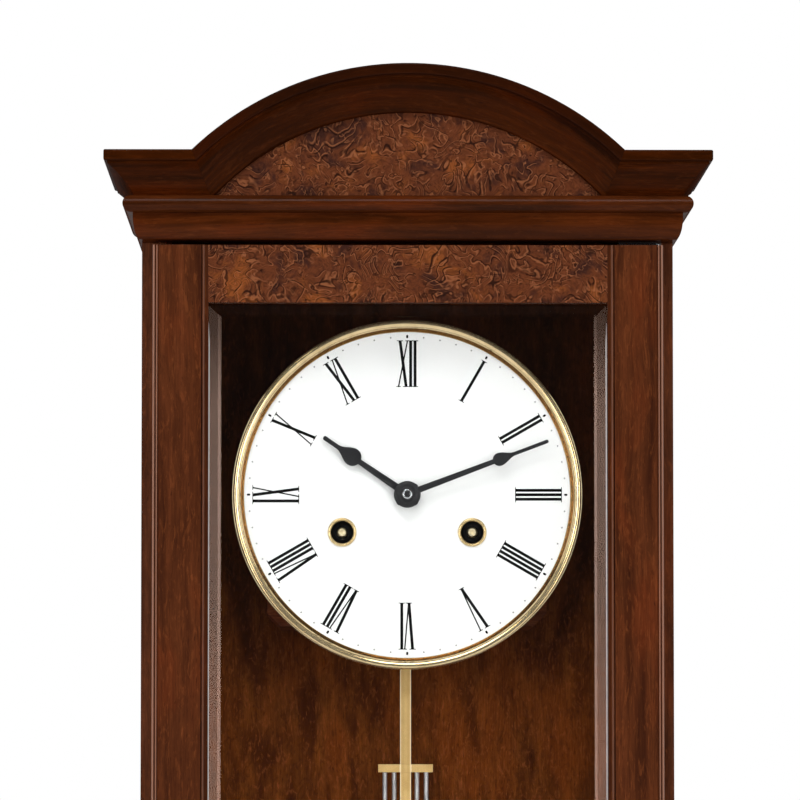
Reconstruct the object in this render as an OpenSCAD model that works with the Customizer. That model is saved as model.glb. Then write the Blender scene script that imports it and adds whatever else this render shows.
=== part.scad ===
// Striking wall clock: arched walnut case, glazed door, two-train movement, pendulum.
// Millimetres. Z is up, the wall is the plane y = 0 and the front faces -Y.
// The origin is the centre of the hanger's keyhole on the wall plane.
// Depth f below is the distance forward of the wall, f = -y.

/* [Case] */
// Width over the outer faces of the case sides
case_w = 287.6; // [280:0.2:300]
// Depth of the case sides, wall to front edge
case_d = 124; // [118:1:134]
// Thickness of each case side
side_t = 13; // [11:0.5:15]
// Thickness of the back board
back_t = 9; // [8:0.5:12]
// Thickness of the cornice board and the bottom board
board_t = 9.2; // [7:0.2:12]
// How far those boards stand past the case
board_out = 9.7; // [7:0.1:12]
// Height of the bed moulding over and under the door
bed_h = 14.2; // [10:0.2:20]
// How far the bed moulding swells out from its foot to its top
bed_out = 4; // [2:0.1:5]
// Height of the plinth under the bottom board
plinth_h = 32; // [22:1:45]
// Projection of the plinth
plinth_out = 7; // [5:0.5:9]
// Wall of the hollow mouldings
mould_t = 12; // [9:1:16]
// Width of the stiles round the side windows
window_stile = 24; // [18:1:32]
// Height of the rails over and under the side windows
window_rail = 45; // [34:1:70]
// Thickness of the side glass
side_glass_t = 2.5; // [2:0.25:4]
// Depth of the groove that holds the side glass
groove = 6; // [4:0.5:9]

/* [Crown] */
// Height of the crown moulding
crown_h = 23.4; // [21:0.2:27]
// Projection of the crown moulding at its top
crown_out = 19.6; // [17:0.1:24]
// Radius of the shallow cove under the crown's top edge
cove_r = 50; // [30:1:90]
// Projection of the crown moulding at its foot
crown_foot = 3.6; // [2:0.2:6]
// Height of the crown's top fillet
fillet_h = 6; // [4:0.5:6.5]
// Height of the small reveal under that fillet
reveal_h = 1.5; // [1:0.1:2.5]
// Outer radius of the arch
arch_r = 167.7; // [155:0.1:180]
// Height from the arch's centre up to the level shoulders
arch_drop = 121; // [112:0.5:126]
// Depth of the arch moulding behind the case front
arch_depth = 20; // [12:1:30]
// Thickness of the pediment panel
pediment_t = 12; // [8:1:16]

/* [Door] */
// Height of the door's top edge over the dial's centre
head_h = 133.05; // [120:0.05:150]
// Height of the door
door_h = 572; // [520:1:640]
// Thickness of the door
door_t = 19.7; // [18:0.1:24]
// How far the door's edge is set in from the case side
door_inset = 6.4; // [4:0.1:8]
// Width of each stile
stile_w = 29.9; // [27:0.1:36]
// Radius of the two reeds down each stile
reed_r = 0.7; // [0.5:0.05:1.2]
// Radius of the bead at each stile's inner edge
bead_r = 0.6; // [0.4:0.05:1]
// Width of the recessed band between that bead and the glass
band_w = 2.1; // [1.5:0.1:5]
// Depth of that band, and of the burl, behind the door's face
band_in = 1.4; // [0.8:0.1:2]
// Height of the top and bottom rails
rail_h = 31; // [26:0.2:44]
// Thickness of the burl veneer on the rails
veneer_t = 0.8; // [0.5:0.1:2]
// Thickness of the door glass
glass_t = 4; // [3:0.5:5]
// Depth of the glass's face behind the door's face
glass_in = 11.7; // [9:0.1:14]
// Thickness of the glass left at its edge
glass_edge = 1.2; // [1:0.1:2]
// Width of the bevel ground round the glass
bevel_w = 13; // [8:0.5:20]
// Width of the rabbet that the glass lies in
rabbet = 6.5; // [5:0.5:9]
// Gap over and under the door
door_gap = 2.8; // [2:0.1:4]
// Radius of the door's pivot pins
pin_r = 1.5; // [1.2:0.1:2]
// Distance from the pivot's axis to the door's edge and to its back
pivot_set = 3.2; // [3:0.1:4]
// Length of the pivots' plates
pivot_len = 20; // [14:1:26]
// Thickness of the plate that holds the pin
pivot_t = 0.9; // [0.7:0.1:1.2]
// How deep each pin goes into the moulding and into the stile
pin_in = 8; // [6:0.5:10]
// Radius of the magnet of the catch, and of the steel disc that it holds
magnet_r = 2.5; // [2:0.5:3]
// Wood left between that magnet and the inside of the case
magnet_in = 0.6; // [0.5:0.1:1]

/* [Dial and hands] */
// Height of the dial's centre against the hanger
dial_z = -118; // [-160:1:-110]
// Outer diameter of the brass bezel
bezel_d = 190; // [184:1:200]
// Width of the bezel's ring
bezel_w = 7; // [6:0.5:9]
// Room for the hands between the door glass and the dial's face
hand_room = 19.3; // [17:0.1:21]
// Thickness of the dial plate
dial_t = 1; // [0.8:0.1:1.6]
// Distance of each winding hole from the dial's middle
wind_x = 35.3; // [33.5:0.1:37]
// Drop of the winding holes below the dial's centre
wind_drop = 20.4; // [18:0.1:23]
// Radius of the winding grommets
grommet_r = 7.6; // [7:0.1:9]
// Length of the minute hand
minute_len = 81.8; // [74:0.1:85]
// Length of the hour hand
hour_len = 55; // [48:0.5:62]
// Radius of the hands' hubs
hub_r = 7; // [5.5:0.5:8]
// Angle that the hour hand has slipped behind the time shown
hour_lag = 1.4; // [0:0.1:3]
// Hour that the hands show
shown_hour = 10; // [0:1:11]
// Minutes past that hour
shown_minute = 11.55; // [0:0.05:59.95]

/* [Movement] */
// Width of the movement's plates
plate_w = 116; // [112:1:118]
// Thickness of the plates
plate_t = 1.5; // [1.2:0.1:2]
// Space between the plates
plate_gap = 38; // [37:0.5:40]
// Room for the motion work between the front plate and the dial plate
motion_room = 20; // [19:0.5:24]
// Top edge of the plates over the dial's centre
plate_top = 60; // [58:1:64]
// Teeth of the great wheels on the two barrels
great_n = 72; // [72:1:78]
// Module of the great wheels
great_m = 0.6; // [0.58:0.01:0.62]
// Teeth of the second wheel
second_n = 64; // [60:1:66]
// Teeth of the centre wheel
centre_n = 72; // [66:1:72]
// Teeth of the third wheel
third_n = 64; // [60:1:66]
// Teeth of the escape wheel
escape_n = 42; // [36:1:48]
// Radius of the escape wheel
escape_r = 12.5; // [11.5:0.1:12.6]
// Height of the escape arbor over the centre
escape_z = 28; // [27.5:0.1:29]
// Height of the pallet arbor and of the pendulum's pivot
pallet_z = 45; // [44:0.5:46]
// Radius of the train's pivots
pivot_r = 0.6; // [0.5:0.05:0.8]
// Running clearance of pivots, pins and pipes in their holes
fit = 0.05; // [0.03:0.01:0.08]
// Radius of the bell
bell_r = 24; // [20:0.5:25]
// Depth of the bell
bell_deep = 17; // [14:0.5:20]

/* [Pendulum] */
// Pendulum length, pivot to the bob's centre
pendulum_len = 350; // [330:1:380]
// Distance of the pendulum's plane behind the rear plate
pendulum_set = 9; // [8.5:0.1:10]
// Width of the flat rod
rod_w = 6; // [5:0.5:8]
// Thickness of the flat rod
rod_t = 3; // [2:0.25:3.5]
// Drop of the upper cross bar below the dial's centre
bar_drop = 145.8; // [140:0.5:160]
// Width of the cross bars
bar_w = 30.2; // [28:0.2:34]
// Height of the cross bars
bar_h = 4.4; // [3.5:0.1:6]
// Diameter of the four steel rods
grid_d = 2.4; // [2:0.1:3]
// Diameter of the bob
bob_d = 115; // [100:1:125]

/* [Hidden] */
$fn = 64;

walnut = [0.33, 0.17, 0.10];
burl = [0.42, 0.22, 0.13];
brass = [0.80, 0.64, 0.36];
steel = [0.76, 0.78, 0.80];
black = [0.13, 0.13, 0.14];

gap = 0.3;          // clearance between pieces that move past each other
slip = 0.1;         // clearance of a fixed piece in its seat
half_w = case_w / 2;
face_f = case_d + gap + door_t;               // plane of the door's face
door_f = case_d + gap;                        // plane of the door's back
door_hw = half_w - door_inset;
open_hw = door_hw - stile_w;
z_door1 = dial_z + head_h;
z_door0 = z_door1 - door_h;
z_bed = z_door1 + door_gap;                   // underside of the bed moulding
z_board0 = z_bed + bed_h;
z_board1 = z_board0 + board_t;
z_crown = z_board1 + crown_h;                 // level top of the shoulders
z_arch = z_crown - arch_drop;                 // centre of the arch
z_base = z_door0 - door_gap;                  // top of the base moulding
z_low1 = z_base - bed_h;                      // top of the bottom board
z_low0 = z_low1 - board_t;
z_foot = z_low0 - plinth_h;
inner_r = arch_r - crown_h;                   // inner edge of the arch's cove
step_in = 1.95;                               // set-back under the top fillet
corner_r = 1;                                 // rounding of that fillet's edges
pivot_x = door_hw - pivot_set;
pivot_f = door_f + pivot_set;
catch_p = [-half_w + side_t - magnet_in - magnet_r, (z_door0 + z_door1) / 2];
glass_f = face_f - glass_in - glass_t;        // back of the glass
dial_f = glass_f - hand_room;                 // face of the dial

// Movement: depths of the layers, measured back from the dial
front_f = dial_f - dial_t - motion_room;      // outer face of the front plate
out_f = front_f - plate_t;                    // inner face of the front plate
in_f = out_f - plate_gap;                     // inner face of the rear plate
plate_f = in_f - plate_t;                     // outer face of the rear plate
pendulum_f = plate_f - pendulum_set;
great_f = in_f + 1.5;
drum_f = in_f + 4;
drum_len = plate_gap - 11;
high_f = out_f - 5;                           // second wheel and pin wheel
centre_f = in_f + 27.5;
third_f = in_f + 9.5;
escape_f = in_f + 17.5;
gather_f = in_f + 21.5;
fly_f = in_f + 5.5;
cannon_f = front_f + 4;
hour_f = front_f + 8;
hour_hand_f = dial_f + 3;
minute_hand_f = dial_f + 6.6;

// Train: modules, tooth counts and arbor places in the front view, x right and z up
mid_m = 0.5;
centre_m = 0.45;
fast_m = 0.4;
hour_m = 0.48;
leaf_great = 10;
leaf_centre = 10;
leaf_fast = 8;
cannon_n = 12;
minute_n = 36;
leaf_minute = 10;
hour_n = 40;
pin_n = 60;
gather_n = 56;
drum_r = great_n * great_m / 2 - 2.1;
barrel_c = (great_n + leaf_great) * great_m / 2;
second_c = (second_n + leaf_centre) * mid_m / 2;
third_c = (centre_n + leaf_fast) * centre_m / 2;
escape_c = (third_n + leaf_fast) * fast_m / 2;
motion_c = (cannon_n + minute_n) * mid_m / 2;
gather_c = (pin_n + leaf_fast) * mid_m / 2;
fly_c = (gather_n + leaf_fast) * fast_m / 2;

// Point at distance rp from p and rq from q, on the left (s = 1) or right (s = -1) of p to q
function meet(p, rp, q, rq, s) = let (d = norm(q - p), a = (rp * rp - rq * rq + d * d) / (2 * d),
  h = sqrt(rp * rp - a * a), u = (q - p) / d) p + a * u + s * h * [-u[1], u[0]];
function toward(p, r, a) = p + r * [cos(a), sin(a)];
function bearing(p, q) = atan2(q[1] - p[1], q[0] - p[0]);
// Turn that sets nb teeth between the na teeth of a wheel turned by pa, along bearing th
function mesh(th, pa, na, nb) = th + 180 - (0.5 - (th - pa) * na / 360) * 360 / nb;

centre = [0, 0];
time_b = [wind_x, -wind_drop];
strike_b = [-wind_x, -wind_drop];
second_p = meet(centre, second_c, time_b, barrel_c, 1);
escape_p = [0, escape_z];
third_p = meet(centre, third_c, escape_p, escape_c, -1);
pallet_p = [0, pallet_z];
minute_p = [0, -motion_c];
pin_p = meet(centre, second_c, strike_b, barrel_c, -1);
gather_bearing = 125;
fly_bearing = 60;
gather_p = toward(pin_p, gather_c, gather_bearing);
fly_p = toward(gather_p, fly_c, fly_bearing);
hammer_p = [12 - plate_w / 2, 16];
hammer_len = 20;
hammer_head_r = 3.5;
bell_bearing = 80;
bell_reach = bell_r + hammer_head_r + 0.5;
bell_p = toward(hammer_p, norm([bell_reach, hammer_len]), bell_bearing);
hammer_bearing = bell_bearing - atan2(bell_reach, hammer_len);
hammer_f = plate_f - 11;
pin_ring = 11;

ph_second_leaf = mesh(bearing(time_b, second_p), 0, great_n, leaf_great);
ph_centre_leaf = mesh(bearing(second_p, centre), 0, second_n, leaf_centre);
ph_third_leaf = mesh(bearing(centre, third_p), 0, centre_n, leaf_fast);
ph_escape_leaf = mesh(bearing(third_p, escape_p), 0, third_n, leaf_fast);
ph_minute = mesh(-90, 0, cannon_n, minute_n);
ph_hour = mesh(90, 0, leaf_minute, hour_n);
ph_pin_leaf = mesh(bearing(strike_b, pin_p), 0, great_n, leaf_great);
ph_gather_leaf = mesh(gather_bearing, 0, pin_n, leaf_fast);
ph_fly_leaf = mesh(fly_bearing, 0, gather_n, leaf_fast);

// Shared shapes
module at_dial() { translate([0, 0, dial_z]) children(); }
// A front-view outline as a plate from depth f0, t thick towards the front
module plate(f0, t) { translate([0, -f0, 0]) rotate([90, 0, 0]) linear_extrude(t) children(); }
// A round bar along the depth at a point of the front view
module rod(p, r, f0, f1) {
  translate([p[0], -f0, p[1]]) rotate([90, 0, 0]) cylinder(r = r, h = f1 - f0);
}
// A body turned about the depth axis from a half profile of radius and depth
module turned() { rotate([90, 0, 0]) rotate_extrude() children(); }
module box(x0, x1, f0, f1, z0, z1) {
  translate([x0, -f1, z0]) cube([x1 - x0, f1 - f0, z1 - z0]);
}

// Toothed outline with radial flanks below the pitch circle and tapered tips
module teeth(n, m, turn = 0, add = 0.7, ded = 0.95, thick = 0.42) {
  rp = n * m / 2;
  step = 360 / n;
  h = thick * step / 2;
  polygon([for (i = [0 : n - 1]) for (k = [0 : 5])
    let (a = i * step + turn + [-h, -h, -0.42 * h, 0.42 * h, h, h][k],
      r = rp + m * [-ded, 0, add, add, 0, -ded][k]) [r * cos(a), r * sin(a)]]);
}
module leaves(n, m, turn = 0) { teeth(n, m, turn, add = 0.5, ded = 1.0, thick = 0.40); }
// A wheel with crossings: rim, hub and tapering arms
module crossed(n, m, turn = 0, arms = 5, rim = 1.8, hub = 3) {
  rp = n * m / 2;
  ri = rp - m - rim;
  difference() {
    teeth(n, m, turn);
    difference() {
      circle(ri);
      circle(hub);
      for (i = [0 : arms - 1]) rotate(i * 360 / arms)
        polygon([[0, -1.1], [ri + 1, -0.8], [ri + 1, 0.8], [0, 1.1]]);
    }
  }
}
module place(p) { translate([p[0], 0, p[1]]) children(); }
// An arbor between the plates with a pivot in each
module arbor(p, r, f0 = in_f, f1 = out_f, pr = pivot_r) {
  rod(p, r, f0 + gap, f1 - gap);
  rod(p, pr, f0 - plate_t, f1 + plate_t);
}

// Case
// The solid under a moulding that runs round the front and both sides, mitred at the corners.
// The child is the moulding's profile: x outwards from the case face, y up.
module wrapped(h) {
  reach = half_w + 40;
  intersection() {
    union() {
      box(-reach, reach, 0, face_f, 0, h);
      translate([reach, -face_f, 0]) rotate([90, 0, -90]) linear_extrude(2 * reach) children();
    }
    union() {
      box(-half_w, half_w, 0, face_f + 60, 0, h);
      for (s = [0, 1]) mirror([s, 0, 0]) translate([half_w, 0, 0]) rotate([90, 0, 0])
        linear_extrude(face_f + 60) children();
    }
  }
}
module crown_profile() {
  top = crown_h - fillet_h;
  cove_top = [crown_out - step_in - gap, top - reveal_h];
  difference() {
    union() {
      translate([-2, 0]) square([crown_out + 2 - step_in, crown_h]);
      polygon(concat([[-2, top]], [for (k = [0, 1]) for (a = [0 : 22.5 : 90])
        [crown_out - corner_r, k == 0 ? top + corner_r : crown_h - corner_r]
        + corner_r * [cos(a + 90 * k - 90), sin(a + 90 * k - 90)]], [[-2, crown_h]]));
    }
    intersection() {
      translate(meet([crown_foot, 0], cove_r, cove_top, cove_r, -1)) circle(cove_r, $fn = 240);
      translate([0, -1]) square([crown_out + 1, cove_top[1] + 1]);
    }
  }
}
// Quarter-ellipse ovolo that swells upwards
module bed_profile() {
  polygon(concat([[-1, 0]], [for (a = [0 : 7.5 : 90])
    [gap + bed_out * sin(a), (bed_h - 1.5) * (1 - cos(a))]], [[gap + bed_out, bed_h], [-1, bed_h]]));
}
module nosing_profile() {
  translate([-1, 0]) square([board_out - board_t / 2 + 1, board_t]);
  translate([board_out - board_t / 2, board_t / 2]) circle(board_t / 2);
}
module plinth_profile() {
  r = 5;
  difference() {
    translate([-1, 0]) square([plinth_out + 1, plinth_h]);
    translate([plinth_out, plinth_h]) circle(r);
    translate([plinth_out, plinth_h - r - 1.6]) square([2, 2]);
  }
}
// Mitre line between the arch and a level shoulder: equal offsets from both outlines
function mitre_x(d) = sqrt(pow(arch_r - d, 2) - pow(arch_drop - d, 2));
function mitre_line(n = 6) = [for (i = [0 : n]) let (d = i * crown_h / n)
  [mitre_x(d), z_crown - d]];
// Front-view area of the arch, inside both mitre lines
module arch_area() {
  right = mitre_line();
  up = z_arch + arch_r + 40;
  polygon(concat([[mitre_x(0), up]], right, [[mitre_x(crown_h), z_board1 - 1]],
    [[-mitre_x(crown_h), z_board1 - 1]], [for (i = [len(right) - 1 : -1 : 0])
    [-right[i][0], right[i][1]]], [[-mitre_x(0), up]]));
}

module back_board() {
  color(walnut) difference() {
    box(-half_w + side_t, half_w - side_t, 0, back_t, z_low1, z_board0);
    box(-25 - slip, 25 + slip, -1, 1.5, -14 - slip, 24 + slip);
    box(-7, 7, 1, 7.5, -7, 18);
  }
}
module wall_hanger() {
  color(steel) plate(0, 1.5) difference() {
    translate([-25, -14]) square([50, 38]);
    circle(4.75);
    translate([-2.25, 0]) square([4.5, 10]);
    translate([0, 10]) circle(2.25);
    for (s = [-1, 1]) translate([s * 18, 5]) circle(1.8);
  }
}
// A case side: a frame round a window, with a groove that holds the glass
module side_frame(s) {
  x0 = half_w - side_t;
  f0 = window_stile;
  f1 = case_d - window_stile;
  z0 = z_low1 + window_rail;
  z1 = z_board0 - window_rail;
  gt = side_glass_t + 2 * slip;
  xm = half_w - side_t / 2;
  color(walnut) mirror([s < 0 ? 1 : 0, 0, 0]) difference() {
    box(x0, half_w, 0, case_d, z_low1, z_board0);
    box(x0 - 1, half_w + 1, f0, f1, z0, z1);
    box(xm - gt / 2, xm + gt / 2, f0 - groove, f1 + groove, z0 - groove, z1 + groove);
    if (s < 0) rod([-catch_p[0], catch_p[1]], magnet_r, case_d - magnet_t, case_d + 1);
  }
}
module side_frame_left() { side_frame(-1); }
module side_frame_right() { side_frame(1); }
module side_glass() {
  xm = half_w - side_t / 2;
  g = groove - slip;
  color([0.75, 0.85, 0.85, 0.35]) for (s = [-1, 1]) mirror([s < 0 ? 1 : 0, 0, 0])
    box(xm - side_glass_t / 2, xm + side_glass_t / 2, window_stile - g,
      case_d - window_stile + g, z_low1 + window_rail - g, z_board0 - window_rail + g);
}
module cornice_board() {
  color(walnut) translate([0, 0, z_board0]) wrapped(board_t) nosing_profile();
}
module bottom_board() {
  color(walnut) translate([0, 0, z_low0]) wrapped(board_t) nosing_profile();
}
module bed_moulding() {
  color(walnut) difference() {
    translate([0, 0, z_bed]) wrapped(bed_h) bed_profile();
    box(-half_w, half_w, -1, case_d, z_bed - 1, z_board0 + 1);
    translate([pivot_x, -pivot_f, z_bed - 1]) cylinder(r = pin_r, h = pin_in + 1);
  }
}
module base_moulding() {
  color(walnut) difference() {
    translate([0, 0, z_base]) mirror([0, 0, 1]) wrapped(bed_h) bed_profile();
    box(-half_w, half_w, -1, case_d, z_low1 - 1, z_base + 1);
    translate([pivot_x, -pivot_f, z_base - pin_in]) cylinder(r = pin_r, h = pin_in + 1);
  }
}
module base_plinth() {
  color(walnut) difference() {
    translate([0, 0, z_foot]) wrapped(plinth_h) plinth_profile();
    box(-half_w + mould_t, half_w - mould_t, -1, face_f - mould_t, z_foot - 1, z_low0 + 1);
  }
}
module crown_shoulders() {
  color(walnut) difference() {
    translate([0, 0, z_board1]) wrapped(crown_h) crown_profile();
    box(-half_w + mould_t, half_w - mould_t, -1, face_f - mould_t, z_board1 - 1, z_crown + 1);
    plate(-1, face_f + 40) arch_area();
  }
}
arch_bead = 1.4;                              // bead at the arch's inner edge
module crown_arch() {
  color(walnut) intersection() {
    translate([0, 0, z_arch]) turned() {
      translate([inner_r, face_f]) mirror([1, -1]) crown_profile();
      translate([inner_r, face_f - arch_depth]) square([crown_h, arch_depth]);
      translate([inner_r - arch_bead, face_f - 0.5]) square([2 * arch_bead, 2.7]);
      translate([inner_r, face_f + 2.2]) circle(arch_bead);
    }
    plate(-1, face_f + 60) intersection() {
      arch_area();
      translate([-arch_r, z_board1]) square([2 * arch_r, 2 * arch_r]);
    }
  }
}
module pediment_panel() {
  r = inner_r - slip / 2;
  color(burl) plate(face_f - 0.5 - slip / 2 - pediment_t, pediment_t) intersection() {
    translate([0, z_arch]) circle(r);
    translate([-r, z_board1]) square([2 * r, r]);
  }
}

// Door
// Section of a stile, x inwards from its outer edge and y forward from the door's back
module stile_section(round_back) {
  flat0 = 4 * reed_r + 0.3;
  bead_x = stile_w - band_w - bead_r;
  back = round_back ? pivot_set : 0;
  difference() {
    union() {
      translate([2 * reed_r, 0]) square([stile_w - 2 * reed_r, door_t - band_in]);
      translate([0, back]) square([flat0, door_t - reed_r - back]);
      for (i = [1, 3]) translate([i * reed_r, door_t - reed_r]) circle(reed_r);
      translate([flat0, 0]) square([bead_x - bead_r - 0.1 - flat0, door_t]);
      translate([flat0, 0]) square([bead_x + bead_r - flat0, door_t - bead_r]);
      translate([bead_x, door_t - bead_r]) circle(bead_r);
      if (round_back) translate([pivot_set, pivot_set]) circle(pivot_set);
    }
    translate([stile_w - rabbet, -1]) square([rabbet + 1, 1 + door_t - glass_in]);
    if (round_back) difference() {
      translate([-1, -1]) square([pivot_set + 1, pivot_set + 1]);
      translate([pivot_set, pivot_set]) circle(pivot_set);
    }
  }
}
module stile(s) {
  mirror([s < 0 ? 1 : 0, 0, 0]) translate([door_hw, -door_f, z_door0])
    mirror([1, 0, 0]) mirror([0, 1, 0]) linear_extrude(door_h) stile_section(s > 0);
}
module door_stile_left() {
  color(walnut) difference() {
    stile(-1);
    rod(catch_p, magnet_r + slip, door_f - 1, door_f + catch_t);
  }
}
module door_stile_right() {
  color(walnut) difference() {
    stile(1);
    for (z = [z_door0 - 1, z_door1 - pin_in - 1]) translate([pivot_x, -pivot_f, z])
      cylinder(r = pin_r + gap, h = pin_in + 2);
  }
}
// A rail between the stiles: k = 1 over the glass, -1 under it, rabbeted towards the glass
module rail(k) {
  z0 = k > 0 ? z_door1 - rail_h : z_door0;
  rz = k > 0 ? z0 - 1 : z0 + rail_h - rabbet;
  difference() {
    box(-open_hw, open_hw, door_f, face_f - band_in - veneer_t, z0, z0 + rail_h);
    box(-open_hw - 1, open_hw + 1, door_f - 1, face_f - glass_in, rz, rz + rabbet + 1);
  }
}
module door_top_rail() { color(walnut) rail(1); }
module door_bottom_rail() { color(walnut) rail(-1); }
module door_burl() {
  color(burl) for (z = [z_door1 - rail_h, z_door0])
    box(-open_hw, open_hw, face_f - band_in - veneer_t, face_f - band_in, z, z + rail_h);
}
glass_hw = open_hw + rabbet - 0.5;
glass_z0 = z_door0 + rail_h - rabbet + 0.5;
glass_z1 = z_door1 - rail_h + rabbet - 0.5;
module door_glass() {
  color([0.75, 0.85, 0.85, 0.3]) hull() {
    box(-glass_hw, glass_hw, glass_f, glass_f + glass_edge, glass_z0, glass_z1);
    box(-glass_hw + bevel_w, glass_hw - bevel_w, glass_f, glass_f + glass_t,
      glass_z0 + bevel_w, glass_z1 - bevel_w);
  }
}
module glass_beads() {
  w = rabbet - 1;
  color(walnut) difference() {
    box(-glass_hw, glass_hw, door_f + 0.2, glass_f, glass_z0, glass_z1);
    box(-glass_hw + w, glass_hw - w, door_f - 1, glass_f + 1, glass_z0 + w, glass_z1 - w);
  }
}
// Brass pivots that the door turns on: a plate let in over and under the door, with its pin
pivot_hw = 3;                                 // half-width of the pivots' plates
module door_pivots() {
  color(brass) for (k = [1, -1])
    translate([0, 0, k > 0 ? z_bed : z_base]) mirror([0, 0, k > 0 ? 0 : 1]) {
      box(pivot_x - pivot_len, pivot_x + pivot_hw, pivot_f - pivot_hw, pivot_f + pivot_hw, -pivot_t, 0);
      translate([pivot_x, -pivot_f, -door_gap - pin_in + gap])
        cylinder(r = pin_r, h = 2 * pin_in + door_gap - gap);
    }
}
module pivot_plates() {
  t = door_gap - pivot_t - gap;
  color(brass) for (k = [1, -1])
    translate([0, 0, k > 0 ? z_door1 : z_door0]) mirror([0, 0, k > 0 ? 0 : 1]) difference() {
      union() {
        box(pivot_x - pivot_len, pivot_x, pivot_f - pivot_hw, pivot_f + pivot_hw, 0, t);
        translate([pivot_x, -pivot_f, 0]) cylinder(r = pivot_hw, h = t);
      }
      translate([pivot_x, -pivot_f, -1]) cylinder(r = pin_r + fit, h = t + 2);
    }
}
// Magnet let into the left side, and the steel disc on the door that it holds
magnet_t = 6;
catch_t = 0.8;
module door_magnet() {
  color(black) rod(catch_p, magnet_r, case_d - magnet_t, case_d);
}
module catch_plate() {
  color(steel) rod(catch_p, magnet_r, door_f, door_f + catch_t);
}

// Dial and hands
plate_bottom = -57;
feet = [for (s = [-1, 1]) for (p = [[plate_w / 2 - 8, 34], [plate_w / 2 - 16, plate_bottom + 7]])
  [s * p[0], p[1]]];
module dial_plate() {
  r = bezel_d / 2 - 1.5;
  color("white") at_dial() difference() {
    union() {
      plate(dial_f - dial_t, dial_t) circle(r);
      for (p = feet) {
        rod(p, 2.5, front_f, dial_f - dial_t);
        rod(p, 1.4, out_f - 1, front_f);
      }
    }
    rod(centre, 5, dial_f - dial_t - 1, dial_f + 1);
    for (p = [time_b, strike_b]) rod(p, grommet_r - 0.6, dial_f - dial_t - 1, dial_f + 1);
  }
}
module dial_bezel() {
  ro = bezel_d / 2;
  ri = ro - bezel_w;
  color(brass) at_dial() turned() difference() {
    union() {
      translate([ro - 1.4, dial_f - 4]) square([1.4, 7.5]);
      translate([ri, dial_f]) square([bezel_w, 1.2]);
      translate([ro - 3, dial_f]) square([3, 3.5]);
      translate([ro - 1.5, dial_f + 3.5]) circle(1.5);
      translate([ri, dial_f]) square([1.6, 1.9]);
      translate([ri + 0.8, dial_f + 1.9]) circle(0.8);
      translate([ri + 2.1, dial_f]) square([2.4, 3.4]);
    }
    translate([ri + 2.0, dial_f + 3.5]) circle(2.05);
  }
}
module winding_grommets() {
  r = grommet_r;
  color(brass) at_dial() for (p = [time_b, strike_b]) place(p) turned() {
    translate([r - 1.4, dial_f - 3]) square([0.7, 3.6]);
    translate([r - 1.4, dial_f]) square([1.4, 0.7]);
    translate([r - 0.7, dial_f + 0.7]) circle(0.7);
  }
}
// Half-width of a hand at distance s: a tapering blade, a bulb round below and ogee above
function hand_w(s, len, w0, w1, sb, rb, tip, run) =
  max(s < sb ? w0 + (w1 - w0) * s / sb : tip,
    s < sb ? (s > sb - rb ? sqrt(rb * rb - pow(s - sb, 2)) : 0)
    : s < sb + run ? tip + (rb - tip) * (1 + cos(180 * (s - sb) / run)) / 2 : 0,
    0) * (s > len - 1 ? 0.55 : 1);
module hand_outline(len, w0, w1, sb, rb, tip, run) {
  n = 60;
  side = [for (i = [0 : n]) let (s = i * len / n)
    [hand_w(s, len, w0, w1, sb, rb, tip, run), s]];
  polygon(concat(side, [for (i = [n : -1 : 0]) [-side[i][0], side[i][1]]]));
}
module minute_hand() {
  color(black) at_dial() difference() {
    union() {
      plate(minute_hand_f, 0.9) union() {
        rotate(-6 * shown_minute)
          hand_outline(minute_len, 1.6, 1.1, 0.652 * minute_len, 3.5, 0.95, 9);
        circle(hub_r);
      }
      rod(centre, 4.4, minute_hand_f - 0.6, minute_hand_f + 1.3);
    }
    rod(centre, 2.2, minute_hand_f - 2, minute_hand_f + 2);
  }
}
module hour_hand() {
  color(black) at_dial() difference() {
    union() {
      plate(hour_hand_f, 0.9) union() {
        rotate(hour_lag - 30 * (shown_hour + shown_minute / 60))
          hand_outline(hour_len, 1.9, 1.2, 0.655 * hour_len, 4.8, 1.1, 10);
        circle(hub_r);
      }
      rod(centre, 4.6, hour_hand_f - 0.8, hour_hand_f + 1.2);
    }
    rod(centre, 3.3, hour_hand_f - 2, hour_hand_f + 2);
  }
}
module hand_nut() {
  color(steel) at_dial() difference() {
    rod(centre, 2.4, minute_hand_f + 1.3, minute_hand_f + 3);
    rod(centre, 1.2, minute_hand_f, minute_hand_f + 4);
  }
}

// Movement
train = [second_p, third_p, escape_p, pin_p, gather_p, fly_p];
pillars = [for (s = [-1, 1]) for (z = [plate_top - 9, plate_bottom + 9]) [s * (plate_w / 2 - 8), z]];
arbor_r = 3;                                  // winding arbors
square_r = 2.2;                               // winding squares
bear_r = 2.4;                                 // barrel arbor bearings
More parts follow.
